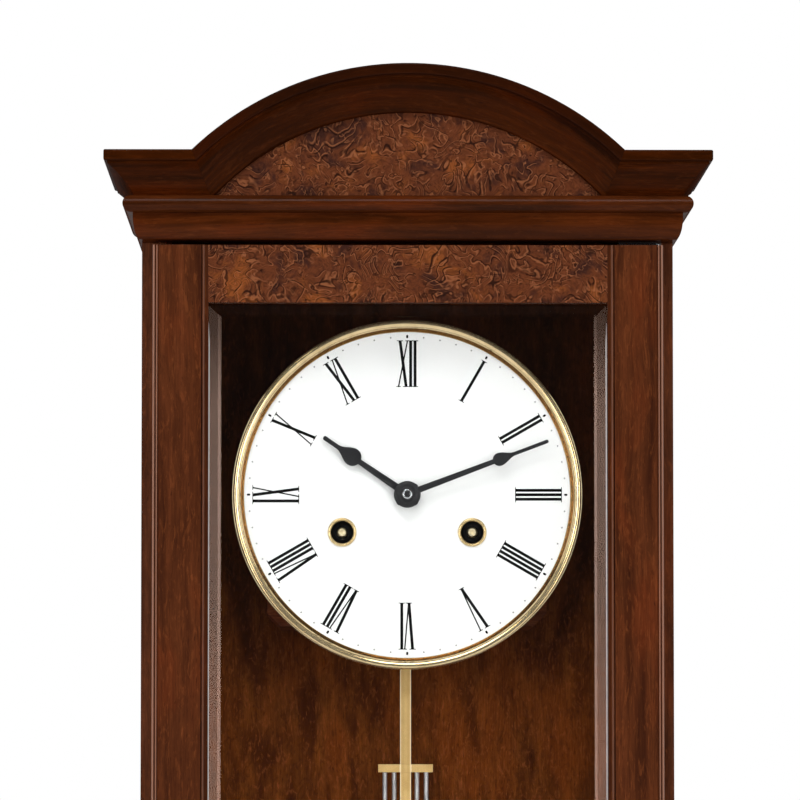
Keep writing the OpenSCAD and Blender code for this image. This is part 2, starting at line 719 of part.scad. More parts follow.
// Front-view outline of a movement plate with cut corners and a relieved lower edge
module plate_outline() {
  w = plate_w / 2;
  difference() {
    polygon([[-w, plate_bottom], [w, plate_bottom], [w, plate_top - 12],
      [w - 12, plate_top], [-w + 12, plate_top], [-w, plate_top - 12]]);
    translate([0, plate_bottom - 3]) circle(16);
    for (s = [-1, 1]) translate([s * (w - 6), 8]) circle(3);
  }
}
module front_plate() {
  color(brass) at_dial() {
    difference() {
      plate(out_f, plate_t) plate_outline();
      for (p = train) rod(p, pivot_r + fit, out_f - 1, front_f + 1);
      rod(pallet_p, pivot_r + fit, out_f - 1, front_f + 1);
      rod(hammer_p, pivot_r + fit, out_f - 1, front_f + 1);
      rod(centre, 2 + fit, out_f - 1, front_f + 1);
      for (p = [time_b, strike_b]) rod(p, bear_r + fit, out_f - 1, front_f + 1);
      for (p = pillars) rod(p, 2.5, out_f - 1, front_f + 1);
      for (p = feet) rod(p, 1.5, out_f - 1, front_f + 1);
    }
    rod(minute_p, 1.5, front_f, hour_f + 3.5);
    rod(minute_p, 2.6, front_f, cannon_f);
    for (p = [time_b, strike_b]) rod(click_p(p), 1.5, front_f, front_f + 4.2);
  }
}
module back_plate() {
  color(brass) at_dial() difference() {
    plate(plate_f, plate_t) plate_outline();
    for (p = train) rod(p, pivot_r + fit, plate_f - 1, in_f + 1);
    rod(centre, 1 + fit, plate_f - 1, in_f + 1);
    rod(pallet_p, 3, plate_f - 1, in_f + 1);
    rod(hammer_p, 1.2 + fit, plate_f - 1, in_f + 1);
    rod(bell_p, 2, plate_f - 1, in_f + 1);
    for (p = [time_b, strike_b]) rod(p, bear_r + fit, plate_f - 1, in_f + 1);
    for (p = pillars) rod(p, 2.5, plate_f - 1, in_f + 1);
    for (s = [-1, 1]) rod([s * 10, pallet_z], 1.5, plate_f - 1, in_f + 1);
  }
}
// Turned pillars, riveted behind and nutted in front
module plate_pillars() {
  color(brass) at_dial() for (p = pillars) place(p) turned() polygon([
    [0, plate_f - 1.5], [3.4, plate_f - 1.5], [3.4, plate_f], [2.5, plate_f], [2.5, in_f],
    [4, in_f], [4, in_f + 5], [3, in_f + 7], [3, out_f - 7], [4, out_f - 5], [4, out_f],
    [2.5, out_f], [2.5, front_f], [4, front_f], [4, front_f + 2.5], [0, front_f + 2.5]]);
}
// Barrel drum with its great wheel and cap
module barrel(p) {
  color(brass) at_dial() difference() {
    union() {
      place(p) plate(great_f, 2.5) teeth(great_n, great_m);
      place(p) turned() polygon([[arbor_r, great_f], [drum_r, great_f], [drum_r, drum_f + drum_len - 2],
        [drum_r - 1, drum_f + drum_len - 1], [drum_r - 1, drum_f + drum_len],
        [drum_r - 4, drum_f + drum_len], [drum_r - 4, drum_f + drum_len - 0.8],
        [arbor_r + 3, drum_f + drum_len - 0.8], [arbor_r + 3, drum_f + drum_len + 1],
        [arbor_r, drum_f + drum_len + 1]]);
    }
    rod(p, arbor_r + fit, great_f - 1, drum_f + drum_len + 2);
  }
}
module time_barrel() { barrel(time_b); }
module strike_barrel() { barrel(strike_b); }
ratchet_n = 20;
ratchet_r = 8;
ratchet_f = front_f + 1;
// Barrel arbor with its ratchet wheel in front of the plate and the winding square
module winding_arbor(p) {
  color(steel) at_dial() {
    rod(p, arbor_r, in_f + gap, out_f - gap);
    rod(p, bear_r, plate_f - 1, ratchet_f);
    rod(p, bear_r, ratchet_f, ratchet_f + 4);
    place(p) plate(ratchet_f, 2.2) polygon([for (i = [0 : ratchet_n - 1]) for (k = [0, 1])
      let (a = (i + 0.12 * k) * 360 / ratchet_n, r = k ? ratchet_r - 1.5 : ratchet_r)
      [r * cos(a), r * sin(a)]]);
    place(p) plate(ratchet_f + 4, dial_f - 3 - ratchet_f - 4)
      square([2 * square_r * 0.82, 2 * square_r * 0.82], center = true);
  }
}
module time_winding_arbor() { winding_arbor(time_b); }
module strike_winding_arbor() { winding_arbor(strike_b); }
// The click turns on a stud over its ratchet wheel and stops just clear of the teeth
click_len = 9;
function click_p(p) = toward(p, norm([ratchet_r + 0.4, click_len]), 118);
module click(p) {
  c = click_p(p);
  a = bearing(c, p) + atan2(ratchet_r + 0.4, click_len);
  color(steel) at_dial() difference() {
    union() {
      rod(c, 3, ratchet_f, ratchet_f + 2.2);
      place(c) plate(ratchet_f, 2.2) rotate(a) polygon([[0, -2.7], [3, -1.0],
        [click_len + 0.5, 0], [click_len + 0.5, 0.8], [3, 2.2], [0, 2.7]]);
    }
    rod(c, 1.5 + fit, ratchet_f - 1, ratchet_f + 4);
  }
}
module time_click() { click(time_b); }
module strike_click() { click(strike_b); }

module second_wheel() {
  color(brass) at_dial() {
    arbor(second_p, 1);
    place(second_p) plate(great_f - 0.5, 3.5) leaves(leaf_great, great_m, ph_second_leaf);
    place(second_p) plate(high_f, 1.5) crossed(second_n, mid_m);
    rod(second_p, 3, high_f - 1, high_f + 1.5);
  }
}
// Centre arbor with its pinion and wheel, and the cannon pinion and pipe in front
module centre_wheel() {
  color(brass) at_dial() {
    rod(centre, 1, plate_f, in_f + 1);
    rod(centre, 1.4, in_f + gap, out_f - 1);
    plate(high_f - 0.5, 3) leaves(leaf_centre, mid_m, ph_centre_leaf);
    plate(centre_f, 1.5) crossed(centre_n, centre_m);
    rod(centre, 3, centre_f - 1, centre_f + 2.5);
    rod(centre, 2, out_f - 1.4, cannon_f);
    plate(cannon_f, 3) teeth(cannon_n, mid_m, 0, add = 0.6, ded = 1.0, thick = 0.40);
    rod(centre, 2.2, cannon_f + 3, minute_hand_f + 1.3);
    rod(centre, 1.2, minute_hand_f + 1, minute_hand_f + 3.4);
  }
}
module third_wheel() {
  color(brass) at_dial() {
    arbor(third_p, 1);
    place(third_p) plate(centre_f - 0.8, 3.2) leaves(leaf_fast, centre_m, ph_third_leaf);
    place(third_p) plate(third_f, 1.4) crossed(third_n, fast_m);
    rod(third_p, 2.6, third_f - 1, third_f + 2.4);
  }
}
// Escape wheel with raked teeth for a recoil anchor
module escape_wheel() {
  root = escape_r - 1.9;
  color(brass) at_dial() {
    arbor(escape_p, 0.9);
    place(escape_p) plate(third_f - 0.8, 3.2) leaves(leaf_fast, fast_m, ph_escape_leaf);
    place(escape_p) plate(escape_f, 1.2) difference() {
      polygon([for (i = [0 : escape_n - 1]) for (k = [0 : 2])
        let (a = -(i + [0, 0.10, 0.42][k]) * 360 / escape_n, r = [escape_r, escape_r, root][k])
        [r * cos(a), r * sin(a)]]);
      difference() {
        circle(root - 1.6);
        circle(2.4);
        for (i = [0 : 4]) rotate(i * 72) translate([0, -0.7]) square([escape_r - 2, 1.4]);
      }
    }
    rod(escape_p, 2.4, escape_f - 1, escape_f + 2.2);
  }
}
// Anchor with its arbor, and the crutch that meets the pendulum behind the rear plate
module anchor() {
  clear = escape_r + 0.95;
  d = pallet_z - escape_z;
  ga = acos(escape_r / d);
  crutch_f = plate_f - 2.8;
  color(steel) at_dial() {
    rod(pallet_p, 1.2, plate_f - 3.5, out_f - gap);
    rod(pallet_p, pivot_r, plate_f - 4.4, front_f);
    plate(escape_f - 0.5, 2.2) difference() {
      union() {
        translate(pallet_p) circle(2.6);
        for (s = [-1, 1]) {
          nib = toward(escape_p, escape_r + 1.2, 90 - s * ga);
          polygon([[s * 0.4, pallet_z + 2.4], [s * 0.4, pallet_z - 1.6], nib + [-s * 1.6, 1.4],
            nib + [-s * 0.5, -1.5], nib + [s * 1.4, -0.4], nib + [s * 1.3, 2.6]]);
        }
      }
      translate(escape_p) circle(clear);
    }
    plate(crutch_f, 1.6) union() {
      translate([-1.5, 3]) square([3, pallet_z - 3]);
      translate(pallet_p) circle(2.4);
      translate([0, 4]) circle(2);
    }
    rod([0, 4], 1, pendulum_f - 3, crutch_f + 0.8);
  }
}
// Bridge behind the rear plate: carries the pallet arbor's pivot and the pendulum's stud
module suspension_cock() {
  f0 = plate_f - 5;
  color(brass) at_dial() difference() {
    union() {
      plate(f0, 1.5) hull() {
        for (s = [-1, 1]) translate([s * 10, pallet_z]) circle(3);
        translate([0, pallet_z + 4]) circle(4);
      }
      for (s = [-1, 1]) {
        rod([s * 10, pallet_z], 2.6, f0, plate_f);
        rod([s * 10, pallet_z], 1.5, plate_f, in_f);
      }
      rod(pallet_p, 1.25, pendulum_f - 5, f0 + 0.2);
      rod(pallet_p, 2.3, pendulum_f - 5, pendulum_f - 3.7);
    }
    rod(pallet_p, pivot_r + fit, f0 + 0.5, f0 + 3);
  }
}
module minute_wheel() {
  color(brass) at_dial() place(minute_p) difference() {
    union() {
      plate(cannon_f + 0.6, 1.4) teeth(minute_n, mid_m, ph_minute);
      plate(cannon_f + 2, hour_f - cannon_f + 0.5)
        teeth(leaf_minute, hour_m, 0, add = 0.6, ded = 0.9, thick = 0.40);
    }
    rod(centre, 1.5 + fit, cannon_f, hour_f + 4);
  }
}
module hour_wheel() {
  color(brass) at_dial() difference() {
    union() {
      plate(hour_f, 1.5) teeth(hour_n, hour_m, ph_hour);
      rod(centre, 3.3, hour_f - 0.4, hour_hand_f + 1.4);
    }
    rod(centre, 2.2 + fit, hour_f - 1, hour_hand_f + 2);
  }
}
module pin_wheel() {
  color(brass) at_dial() {
    arbor(pin_p, 1);
    place(pin_p) plate(great_f - 0.5, 3.5) leaves(leaf_great, great_m, ph_pin_leaf);
    place(pin_p) plate(high_f, 1.5) crossed(pin_n, mid_m, arms = 4, rim = 4.4);
    rod(pin_p, 3, high_f - 1, high_f + 1.5);
    for (i = [0 : 7]) rod(toward(pin_p, pin_ring, 22.5 + i * 45), 0.8, high_f, high_f + 4.2);
  }
}
module gathering_wheel() {
  color(brass) at_dial() {
    arbor(gather_p, 1);
    place(gather_p) plate(high_f - 0.8, 3) leaves(leaf_fast, mid_m, ph_gather_leaf);
    place(gather_p) plate(gather_f, 1.4) crossed(gather_n, fast_m);
    rod(gather_p, 2.6, gather_f - 1, gather_f + 2.4);
  }
}
module fly() {
  color(brass) at_dial() {
    arbor(fly_p, 0.9);
    place(fly_p) plate(gather_f - 0.8, 3.2) leaves(leaf_fast, fast_m, ph_fly_leaf);
    rod(fly_p, 1.8, fly_f, fly_f + 12);
    place(fly_p) rotate([0, 30, 0]) box(-8.6, 8.6, fly_f + 0.5, fly_f + 11.5, -0.3, 0.3);
  }
}
// Hammer arbor, tail over the lifting pins, and the hammer outside the bell's rim
module strike_hammer() {
  tail = norm(pin_p - hammer_p) - pin_ring - 0.8 - 0.5;
  head = toward(hammer_p, hammer_len, hammer_bearing);
  color(brass) at_dial() {
    rod(hammer_p, 1.2, hammer_f - 1.2, out_f - gap);
    rod(hammer_p, pivot_r, out_f - 1, front_f);
    rod(hammer_p, 2.4, out_f - 4.2, out_f - 0.6);
    place(hammer_p) plate(out_f - 3, 1.8) rotate(bearing(hammer_p, pin_p))
      polygon([[0, -1.3], [tail - 1, -0.9], [tail, -0.4], [tail, 0.4], [tail - 1, 0.9], [0, 1.3]]);
    rod(hammer_p, 2.4, hammer_f - 1.6, hammer_f + 1.6);
    translate([hammer_p[0], -hammer_f, hammer_p[1]]) rotate([0, 90 - hammer_bearing, 0])
      cylinder(r = 0.9, h = hammer_len - 1);
    rod(head, hammer_head_r, hammer_f - 5, hammer_f + 5);
  }
}
mouth_f = plate_f - 4.5;                      // plane of the bell's mouth
// Bell: a thin bowl whose mouth faces the movement
module bell() {
  ro = bell_r;
  wall = 1.6;
  function bowl(r, d, n = 14) = [for (i = [0 : n]) let (a = i * 90 / n)
    [max(r * sin(a), 2.6), mouth_f - d * pow(cos(a), 0.8)]];
  color([0.74, 0.74, 0.72]) at_dial() place(bell_p) turned()
    polygon(concat(bowl(ro, bell_deep), [for (i = [14 : -1 : 0])
      bowl(ro - wall, bell_deep - wall)[i]]));
}
module bell_stand() {
  crown = mouth_f - bell_deep;
  color(steel) at_dial() {
    rod(bell_p, 3.2, crown + 1.8, crown + 3);
    rod(bell_p, 2.5, crown - 2, plate_f);
    rod(bell_p, 2, plate_f, in_f + 0.8);
    rod(bell_p, 4, crown - 2.5, crown);
  }
}

// Seat and pendulum
seat_hw = plate_w / 2 + 18;
seat_t = 14;
seat_f1 = front_f + 9;
slot_hw = bar_w / 2 + 5;                      // the cross bars pass the slot when it is hung
bracket_t = 11;
bracket_len = 46;
bracket_h = 44;
bracket_lip = 8;                              // height left at the bracket's front end
bracket_top = 12;                             // and width left at its upper end
module seat_board() {
  z1 = plate_bottom;
  color(walnut) at_dial() difference() {
    plate(back_t, seat_f1 - back_t) polygon([[-seat_hw, z1], [seat_hw, z1],
      [seat_hw, z1 - seat_t + 7], [seat_hw - 7, z1 - seat_t], [-seat_hw + 7, z1 - seat_t],
      [-seat_hw, z1 - seat_t + 7]]);
    box(-slot_hw, slot_hw, back_t - 1, plate_f - 1, z1 - seat_t - 1, z1 + 1);
  }
}
// Gussets that carry the seat board on the back board
module seat_brackets() {
  color(walnut) at_dial() for (s = [-1, 1]) mirror([s < 0 ? 1 : 0, 0, 0])
    translate([plate_w / 2 + 3, 0, plate_bottom]) rotate([90, 0, 90]) mirror([1, 0])
      linear_extrude(bracket_t) polygon([[back_t, 0], [back_t + bracket_len, 0],
        [back_t + bracket_len, bracket_lip], [back_t + bracket_top, bracket_h],
        [back_t, bracket_h]]);
}
module suspension_spring() {
  color(steel) at_dial() difference() {
    union() {
      box(-4.5, 4.5, pendulum_f - 3.4, pendulum_f + 3.4, pallet_z - 4.5, pallet_z + 4);
      box(-0.15, 0.15, pendulum_f - 2.5, pendulum_f + 2.5, pallet_z - 12.5, pallet_z - 4.5);
      box(-3.2, 3.2, pendulum_f - 2.5, pendulum_f + 2.5, pallet_z - 17, pallet_z - 12.5);
    }
    rod(pallet_p, 1.25 + fit, pendulum_f - 5, pendulum_f + 5);
  }
}
bob_z = pallet_z - pendulum_len;
bar_z = [-bar_drop - bar_h, bob_z + bob_d / 2 + 5];
grid_x = [-0.755, -0.417, 0.417, 0.755] * bar_w / 2;
rod_end = bob_z + 12;
module pendulum_rod() {
  color(brass) at_dial() difference() {
    union() {
      box(-rod_w / 2, rod_w / 2, pendulum_f - rod_t / 2, pendulum_f + rod_t / 2, rod_end,
        pallet_z - 17);
      for (z = bar_z) box(-bar_w / 2, bar_w / 2, pendulum_f - 2.5, pendulum_f + 2.5, z,
        z + bar_h);
      translate([0, -pendulum_f, bob_z - bob_d / 2 - 16])
        cylinder(r = 1.4, h = rod_end - bob_z + bob_d / 2 + 17);
    }
    for (x = grid_x) translate([x, -pendulum_f, bar_z[1] + 1])
      cylinder(r = grid_d / 2, h = bar_z[0] - bar_z[1] + bar_h - 2);
    box(-1.1, 1.1, pendulum_f - 5, pendulum_f + 5, -2, 10);
  }
}
module gridiron_rods() {
  color(steel) at_dial() for (x = grid_x) translate([x, -pendulum_f, bar_z[1] + 1])
    cylinder(r = grid_d / 2, h = bar_z[0] - bar_z[1] + bar_h - 2);
}
// Lens-shaped bob: two spherical faces on a thin rim, with a channel for the rod
module pendulum_bob() {
  r = bob_d / 2;
  front = 7.5;
  rear = 4;
  rim = 1.2;
  rf = (r * r + front * front) / (2 * front);
  rb = (r * r + rear * rear) / (2 * rear);
  color(brass) at_dial() difference() {
    translate([0, 0, bob_z]) turned() intersection() {
      translate([0, pendulum_f - rim - rear]) square([r, front + rear + 2 * rim]);
      translate([0, pendulum_f + rim + front - rf]) circle(rf, $fn = 256);
      translate([0, pendulum_f - rim - rear + rb]) circle(rb, $fn = 256);
    }
    box(-rod_w / 2 - slip, rod_w / 2 + slip, pendulum_f - rod_t / 2 - slip,
      pendulum_f + rod_t / 2 + slip, rod_end - slip, bob_z + r + 1);
    translate([0, -pendulum_f, bob_z - r - 1]) cylinder(r = 1.6, h = r + 14);
  }
}
module rating_nut() {
  z1 = bob_z - bob_d / 2 - gap;
  color(brass) at_dial() translate([0, -pendulum_f, z1 - 6]) difference() {
    union() {
      linear_extrude(5) polygon([for (i = [0 : 47]) let (a = i * 7.5, r = i % 2 ? 5.7 : 6)
        [r * cos(a), r * sin(a)]]);
      translate([0, 0, 5]) cylinder(r = 4, h = 1);
    }
    translate([0, 0, -1]) cylinder(r = 1.4 + fit, h = 9);
  }
}

back_board();
side_frame_left();
side_frame_right();
side_glass();
cornice_board();
bottom_board();
bed_moulding();
base_moulding();
base_plinth();
crown_arch();
crown_shoulders();
pediment_panel();
wall_hanger();
seat_board();
seat_brackets();
door_magnet();
door_pivots();
front_plate();
back_plate();
plate_pillars();
dial_plate();
dial_bezel();
winding_grommets();
suspension_cock();
bell();
bell_stand();
door_stile_left();
door_stile_right();
door_top_rail();
door_bottom_rail();
door_burl();
door_glass();
glass_beads();
pivot_plates();
catch_plate();
centre_wheel();
minute_hand();
hand_nut();
hour_wheel();
hour_hand();
minute_wheel();
time_barrel();
time_winding_arbor();
second_wheel();
third_wheel();
escape_wheel();
anchor();
strike_barrel();
strike_winding_arbor();
pin_wheel();
gathering_wheel();
fly();
strike_hammer();
time_click();
strike_click();
suspension_spring();
pendulum_rod();
gridiron_rods();
pendulum_bob();
rating_nut();
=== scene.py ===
"""A striking wall clock in an arched walnut case. The sections follow the clock as it is put together:
camera and light, case, crown, movement, dial, hands, pendulum, door. Lengths are in metres."""
import math

import bmesh
import bpy
import numpy as np
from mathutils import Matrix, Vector


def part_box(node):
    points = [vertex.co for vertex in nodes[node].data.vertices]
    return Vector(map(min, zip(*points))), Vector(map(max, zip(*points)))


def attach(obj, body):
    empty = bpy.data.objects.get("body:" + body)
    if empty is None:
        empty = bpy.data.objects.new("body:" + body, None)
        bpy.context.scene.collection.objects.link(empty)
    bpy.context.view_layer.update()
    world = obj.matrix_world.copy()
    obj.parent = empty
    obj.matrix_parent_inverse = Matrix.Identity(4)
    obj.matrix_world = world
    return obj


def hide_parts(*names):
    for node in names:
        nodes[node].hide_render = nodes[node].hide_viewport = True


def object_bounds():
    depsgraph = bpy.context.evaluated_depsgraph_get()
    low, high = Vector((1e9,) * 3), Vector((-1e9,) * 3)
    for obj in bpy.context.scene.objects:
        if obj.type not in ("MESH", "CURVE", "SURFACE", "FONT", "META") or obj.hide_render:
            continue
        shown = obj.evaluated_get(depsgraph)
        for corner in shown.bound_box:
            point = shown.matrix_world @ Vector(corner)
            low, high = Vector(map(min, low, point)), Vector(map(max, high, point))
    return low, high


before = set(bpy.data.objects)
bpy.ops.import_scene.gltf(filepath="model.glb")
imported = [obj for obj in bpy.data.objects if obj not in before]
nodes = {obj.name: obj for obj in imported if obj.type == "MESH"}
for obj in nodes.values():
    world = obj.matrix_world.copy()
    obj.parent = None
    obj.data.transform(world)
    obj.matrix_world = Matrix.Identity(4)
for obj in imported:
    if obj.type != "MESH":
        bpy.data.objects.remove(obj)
cad_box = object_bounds()


# Camera. It stands a little over three metres in front of the door, left of the middle and under
# the dial, and looks slightly up through a long lens, so that the uprights stay nearly parallel.
dial_low, dial_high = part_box("dial_plate")
dial_z = (dial_low.z + dial_high.z) / 2
dial_face = dial_low.y
door_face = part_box("door_stile_left")[0].y
camera_at = Vector((-0.0415, door_face - 3.135, dial_z - 0.1574))
camera_aim = Vector((-0.0043, door_face, dial_z + 0.0493))
camera_data = bpy.data.cameras.new("front_camera")
camera_data.lens = 263
camera_data.sensor_width = 36
camera_data.clip_end = 30
camera = bpy.data.objects.new("front_camera", camera_data)
camera.location = camera_at
camera.rotation_euler = (camera_aim - camera_at).to_track_quat("-Z", "Y").to_euler()
bpy.context.scene.collection.objects.link(camera)
bpy.context.scene.camera = camera


# Light. A plain studio: a large soft box high in front, one at each side of the camera, a strip at
# each side for the edges and one box behind. A pale world lies round it, and a pale floor well under
# the hanging clock.
def add(tree, kind, inputs=None, **settings):
    """A shader node. Settings are its own options, and inputs maps a socket to a value or a link."""
    made = tree.nodes.new("ShaderNode" + kind)
    for name, value in settings.items():
        setattr(made, name, value)
    for name, value in (inputs or {}).items():
        if isinstance(value, bpy.types.NodeSocket):
            tree.links.new(value, made.inputs[name])
        else:
            made.inputs[name].default_value = value
    return made


def maths(tree, operation, first, second=0.0, third=0.0, clamp=False):
    """The result of one arithmetic step on sockets or numbers."""
    return add(tree, "Math", {0: first, 1: second, 2: third},
               operation=operation, use_clamp=clamp).outputs[0]


def srgb(red, green, blue):
    """Linear colour of an 8-bit screen colour: c/12.92 near black, else ((c + 0.055)/1.055)^2.4."""
    value = np.array([red, green, blue]) / 255
    linear = np.where(value < 0.04045, value / 12.92, ((value + 0.055) / 1.055) ** 2.4)
    return (*linear.tolist(), 1.0)


def new_material(name):
    """An empty node material, its tree and its principled shader."""
    made = bpy.data.materials.new(name)
    made.use_nodes = True
    return made, made.node_tree, made.node_tree.nodes["Principled BSDF"]


def connect(tree, shader, **inputs):
    """Links or values for the principled shader, with spaces written as underscores."""
    for name, value in inputs.items():
        socket = shader.inputs[name.replace("_", " ")]
        if isinstance(value, bpy.types.NodeSocket):
            tree.links.new(value, socket)
        else:
            socket.default_value = value


def soft_box(name, place, aim, width, height, watts, mirrored=True):
    """A rectangular area lamp that faces a point, and that glossy surfaces may mirror."""
    data = bpy.data.lights.new(name, "AREA")
    data.shape = "RECTANGLE"
    data.size, data.size_y, data.energy = width, height, watts
    lamp = bpy.data.objects.new(name, data)
    lamp.location = place
    lamp.rotation_euler = (Vector(aim) - Vector(place)).to_track_quat("-Z", "Y").to_euler()
    lamp.visible_glossy = mirrored
    bpy.context.scene.collection.objects.link(lamp)


def ramp(tree, value, low, high):
    """0 under low, 1 over high and smooth between, or the other way round where low is the larger."""
    made = add(tree, "MapRange", {"Value": value, "From Min": low, "From Max": high},
               interpolation_type="SMOOTHSTEP")
    return made.outputs["Result"]


def between(tree, share, first, second):
    """A number mixed from two numbers by a share."""
    return add(tree, "Mix", {0: share, 2: first, 3: second}, data_type="FLOAT").outputs[0]


clock_middle = (0, -0.07, dial_z)
soft_box("key_box", (-0.4, -1.9, 1.9), clock_middle, 1.8, 1.0, 38.5)
soft_box("left_front", (-1.2, -2.7, -0.1), clock_middle, 0.8, 1.2, 18.2, False)
soft_box("right_front", (1.2, -2.7, -0.1), clock_middle, 0.8, 1.2, 18.2, False)
soft_box("left_strip", (-1.6, -1.0, -0.2), clock_middle, 0.3, 1.8, 6)
soft_box("right_strip", (1.6, -0.9, -0.2), clock_middle, 0.3, 1.8, 6)
soft_box("rear_box", (0.3, 2.0, 0.9), clock_middle, 1.2, 1.2, 22)

world = bpy.data.worlds.new("pale_studio")
world.use_nodes = True
bpy.context.scene.world = world
tree = world.node_tree
tree.nodes.clear()
ray = add(tree, "LightPath")
matt = maths(tree, "LESS_THAN", ray.outputs["Diffuse Depth"], 0.5)
straight = maths(tree, "MULTIPLY", matt, maths(tree, "LESS_THAN", ray.outputs["Glossy Depth"], 0.5))
seen = maths(tree, "MAXIMUM", ray.outputs["Is Camera Ray"],
             maths(tree, "MULTIPLY", ray.outputs["Is Transmission Ray"], straight))
shiny = maths(tree, "MULTIPLY", matt, maths(tree, "MAXIMUM", ray.outputs["Is Glossy Ray"],
                                            ray.outputs["Is Transmission Ray"]))
x, y, z = add(tree, "SeparateXYZ", {0: add(tree, "TexCoord").outputs["Generated"]}).outputs[:3]
aside = maths(tree, "ABSOLUTE", x)

# Two upright warm strips at each side, in front of the clock. Only a sharp reflection shows them, as
# the bevels of the pane give it.
near_strip, far_strip = 0.178, 0.44
near_band = ramp(tree, maths(tree, "ABSOLUTE", maths(tree, "SUBTRACT", aside, near_strip)), 0.05, 0.03)
far_band = ramp(tree, maths(tree, "ABSOLUTE", maths(tree, "SUBTRACT", aside, far_strip)), 0.065, 0.045)
strip = maths(tree, "MULTIPLY", maths(tree, "MAXIMUM", near_band, far_band), ramp(tree, y, 0.0, -0.3))
strip = maths(tree, "MULTIPLY", strip, ramp(tree, z, -0.16, -0.11))
sharp = maths(tree, "MULTIPLY", ray.outputs["Is Singular Ray"],
              maths(tree, "LESS_THAN", ray.outputs["Transmission Depth"], 2.5))
strip = maths(tree, "MULTIPLY", strip, sharp)
strip_level = maths(tree, "MULTIPLY_ADD", ramp(tree, z, 0.082, 0.062), 2.7, 1.0)

# The room as gloss and glass show it: dark in front, and behind the clock pale at the sides and below.
sweep = maths(tree, "MAXIMUM", ramp(tree, aside, 0.10, 0.35), ramp(tree, z, 0.03, -0.05))
sweep = maths(tree, "MAXIMUM", sweep, maths(tree, "MULTIPLY", ramp(tree, z, 0.25, 0.50), 0.3))
sweep = maths(tree, "MULTIPLY_ADD", sweep, ramp(tree, y, -0.15, 0.35), 0.02)
mirrored = maths(tree, "MULTIPLY_ADD", strip, strip_level, sweep)
room_level, backdrop_level = 0.27, 1.0
strength = between(tree, seen, between(tree, shiny, room_level, mirrored), backdrop_level)
tint = add(tree, "Mix", {0: maths(tree, "MULTIPLY", strip, shiny), 6: (1, 1, 1, 1), 7: (1, 0.66, 0.52, 1)},
           data_type="RGBA").outputs[2]
background = add(tree, "Background", {"Color": tint, "Strength": strength})
add(tree, "OutputWorld", {"Surface": background.outputs[0]})
bpy.context.scene.view_settings.view_transform = "Standard"

floor_z, floor_half = cad_box[0].z - 0.35, 6
floor_corners = [(across * floor_half, along * floor_half, floor_z)
                 for across, along in ((-1, -1), (1, -1), (1, 1), (-1, 1))]
floor_mesh = bpy.data.meshes.new("floor")
floor_mesh.from_pydata(floor_corners, [], [(0, 1, 2, 3)])
floor = bpy.data.objects.new("floor", floor_mesh)
bpy.context.scene.collection.objects.link(floor)
floor_finish, tree, shader = new_material("pale_floor")
ray = add(tree, "LightPath")
first_look = maths(tree, "LESS_THAN", ray.outputs["Diffuse Depth"], 0.5)
direct = maths(tree, "SUBTRACT", first_look, ray.outputs["Is Diffuse Ray"], clamp=True)
connect(tree, shader, Base_Color=(0.42, 0.42, 0.42, 1), Roughness=0.9, Specular_IOR_Level=0.0,
        Emission_Color=(1, 1, 1, 1), Emission_Strength=maths(tree, "MULTIPLY", direct, 0.5))
floor_mesh.materials.append(floor_finish)


# Case boards. Solid walnut, planed, stained a warm brown and sprayed with a satin lacquer. The grain
# runs along each board, and the mouldings that turn a corner are mitred there.
def blend(tree, share, first, second):
    """Colour mixed from two colours by a share."""
    return add(tree, "Mix", {0: share, 6: first, 7: second}, data_type="RGBA").outputs[2]


def laid_over(tree, colour, share, strength, shade):
    """A colour with an 8-bit shade laid over it, by a share times a strength."""
    return blend(tree, maths(tree, "MULTIPLY", share, strength), colour, srgb(*shade))


def noise(tree, where, scale, detail=2.0, rough=0.5, distortion=0.0):
    """Cloudy values round 0.5, and a colour of three such values."""
    return add(tree, "TexNoise", {"Vector": where, "Scale": scale, "Detail": detail, "Roughness": rough,
                                  "Distortion": distortion})


def stretched(tree, where, factors, shift=(0, 0, 0)):
    """Coordinates multiplied on each axis, then shifted."""
    return add(tree, "Mapping", {"Vector": where, "Scale": factors, "Location": shift}).outputs[0]


def grain_space(tree, run):
    """Object coordinates turned so that x runs along the grain: along one axis, round the case's
    mitred corners, or round the arch."""
    place = add(tree, "TexCoord").outputs["Object"]
    x, y, z = add(tree, "SeparateXYZ", {0: place}).outputs[:3]
    if run == "arch":
        high = maths(tree, "SUBTRACT", z, arch_centre_z)
        turn = maths(tree, "MULTIPLY", maths(tree, "ARCTAN2", x, high), arch_radius)
        reach = maths(tree, "SQRT", maths(tree, "ADD", maths(tree, "MULTIPLY", x, x),
                                          maths(tree, "MULTIPLY", high, high)))
        return add(tree, "CombineXYZ", {0: turn, 1: reach, 2: y}).outputs[0]
    order = (z, x, y) if run == "z" else (x, z, y)
    front = add(tree, "CombineXYZ", dict(enumerate(order))).outputs[0]
    if run != "mitred":
        return front
    side = add(tree, "CombineXYZ", {0: y, 1: z, 2: x}).outputs[0]
    past = maths(tree, "ADD", maths(tree, "ABSOLUTE", x), y)
    on_side = maths(tree, "GREATER_THAN", past, case_half + door_face)
    return add(tree, "Mix", {0: on_side, 4: front, 5: side}, data_type="VECTOR").outputs[1]


def lacquer(tree, level):
    """Weight of a clear coat that fades where the surface is seen edge on."""
    facing = add(tree, "LayerWeight", {"Blend": 0.5}).outputs["Facing"]
    return maths(tree, "MULTIPLY", ramp(tree, facing, 0.995, 0.93), level)


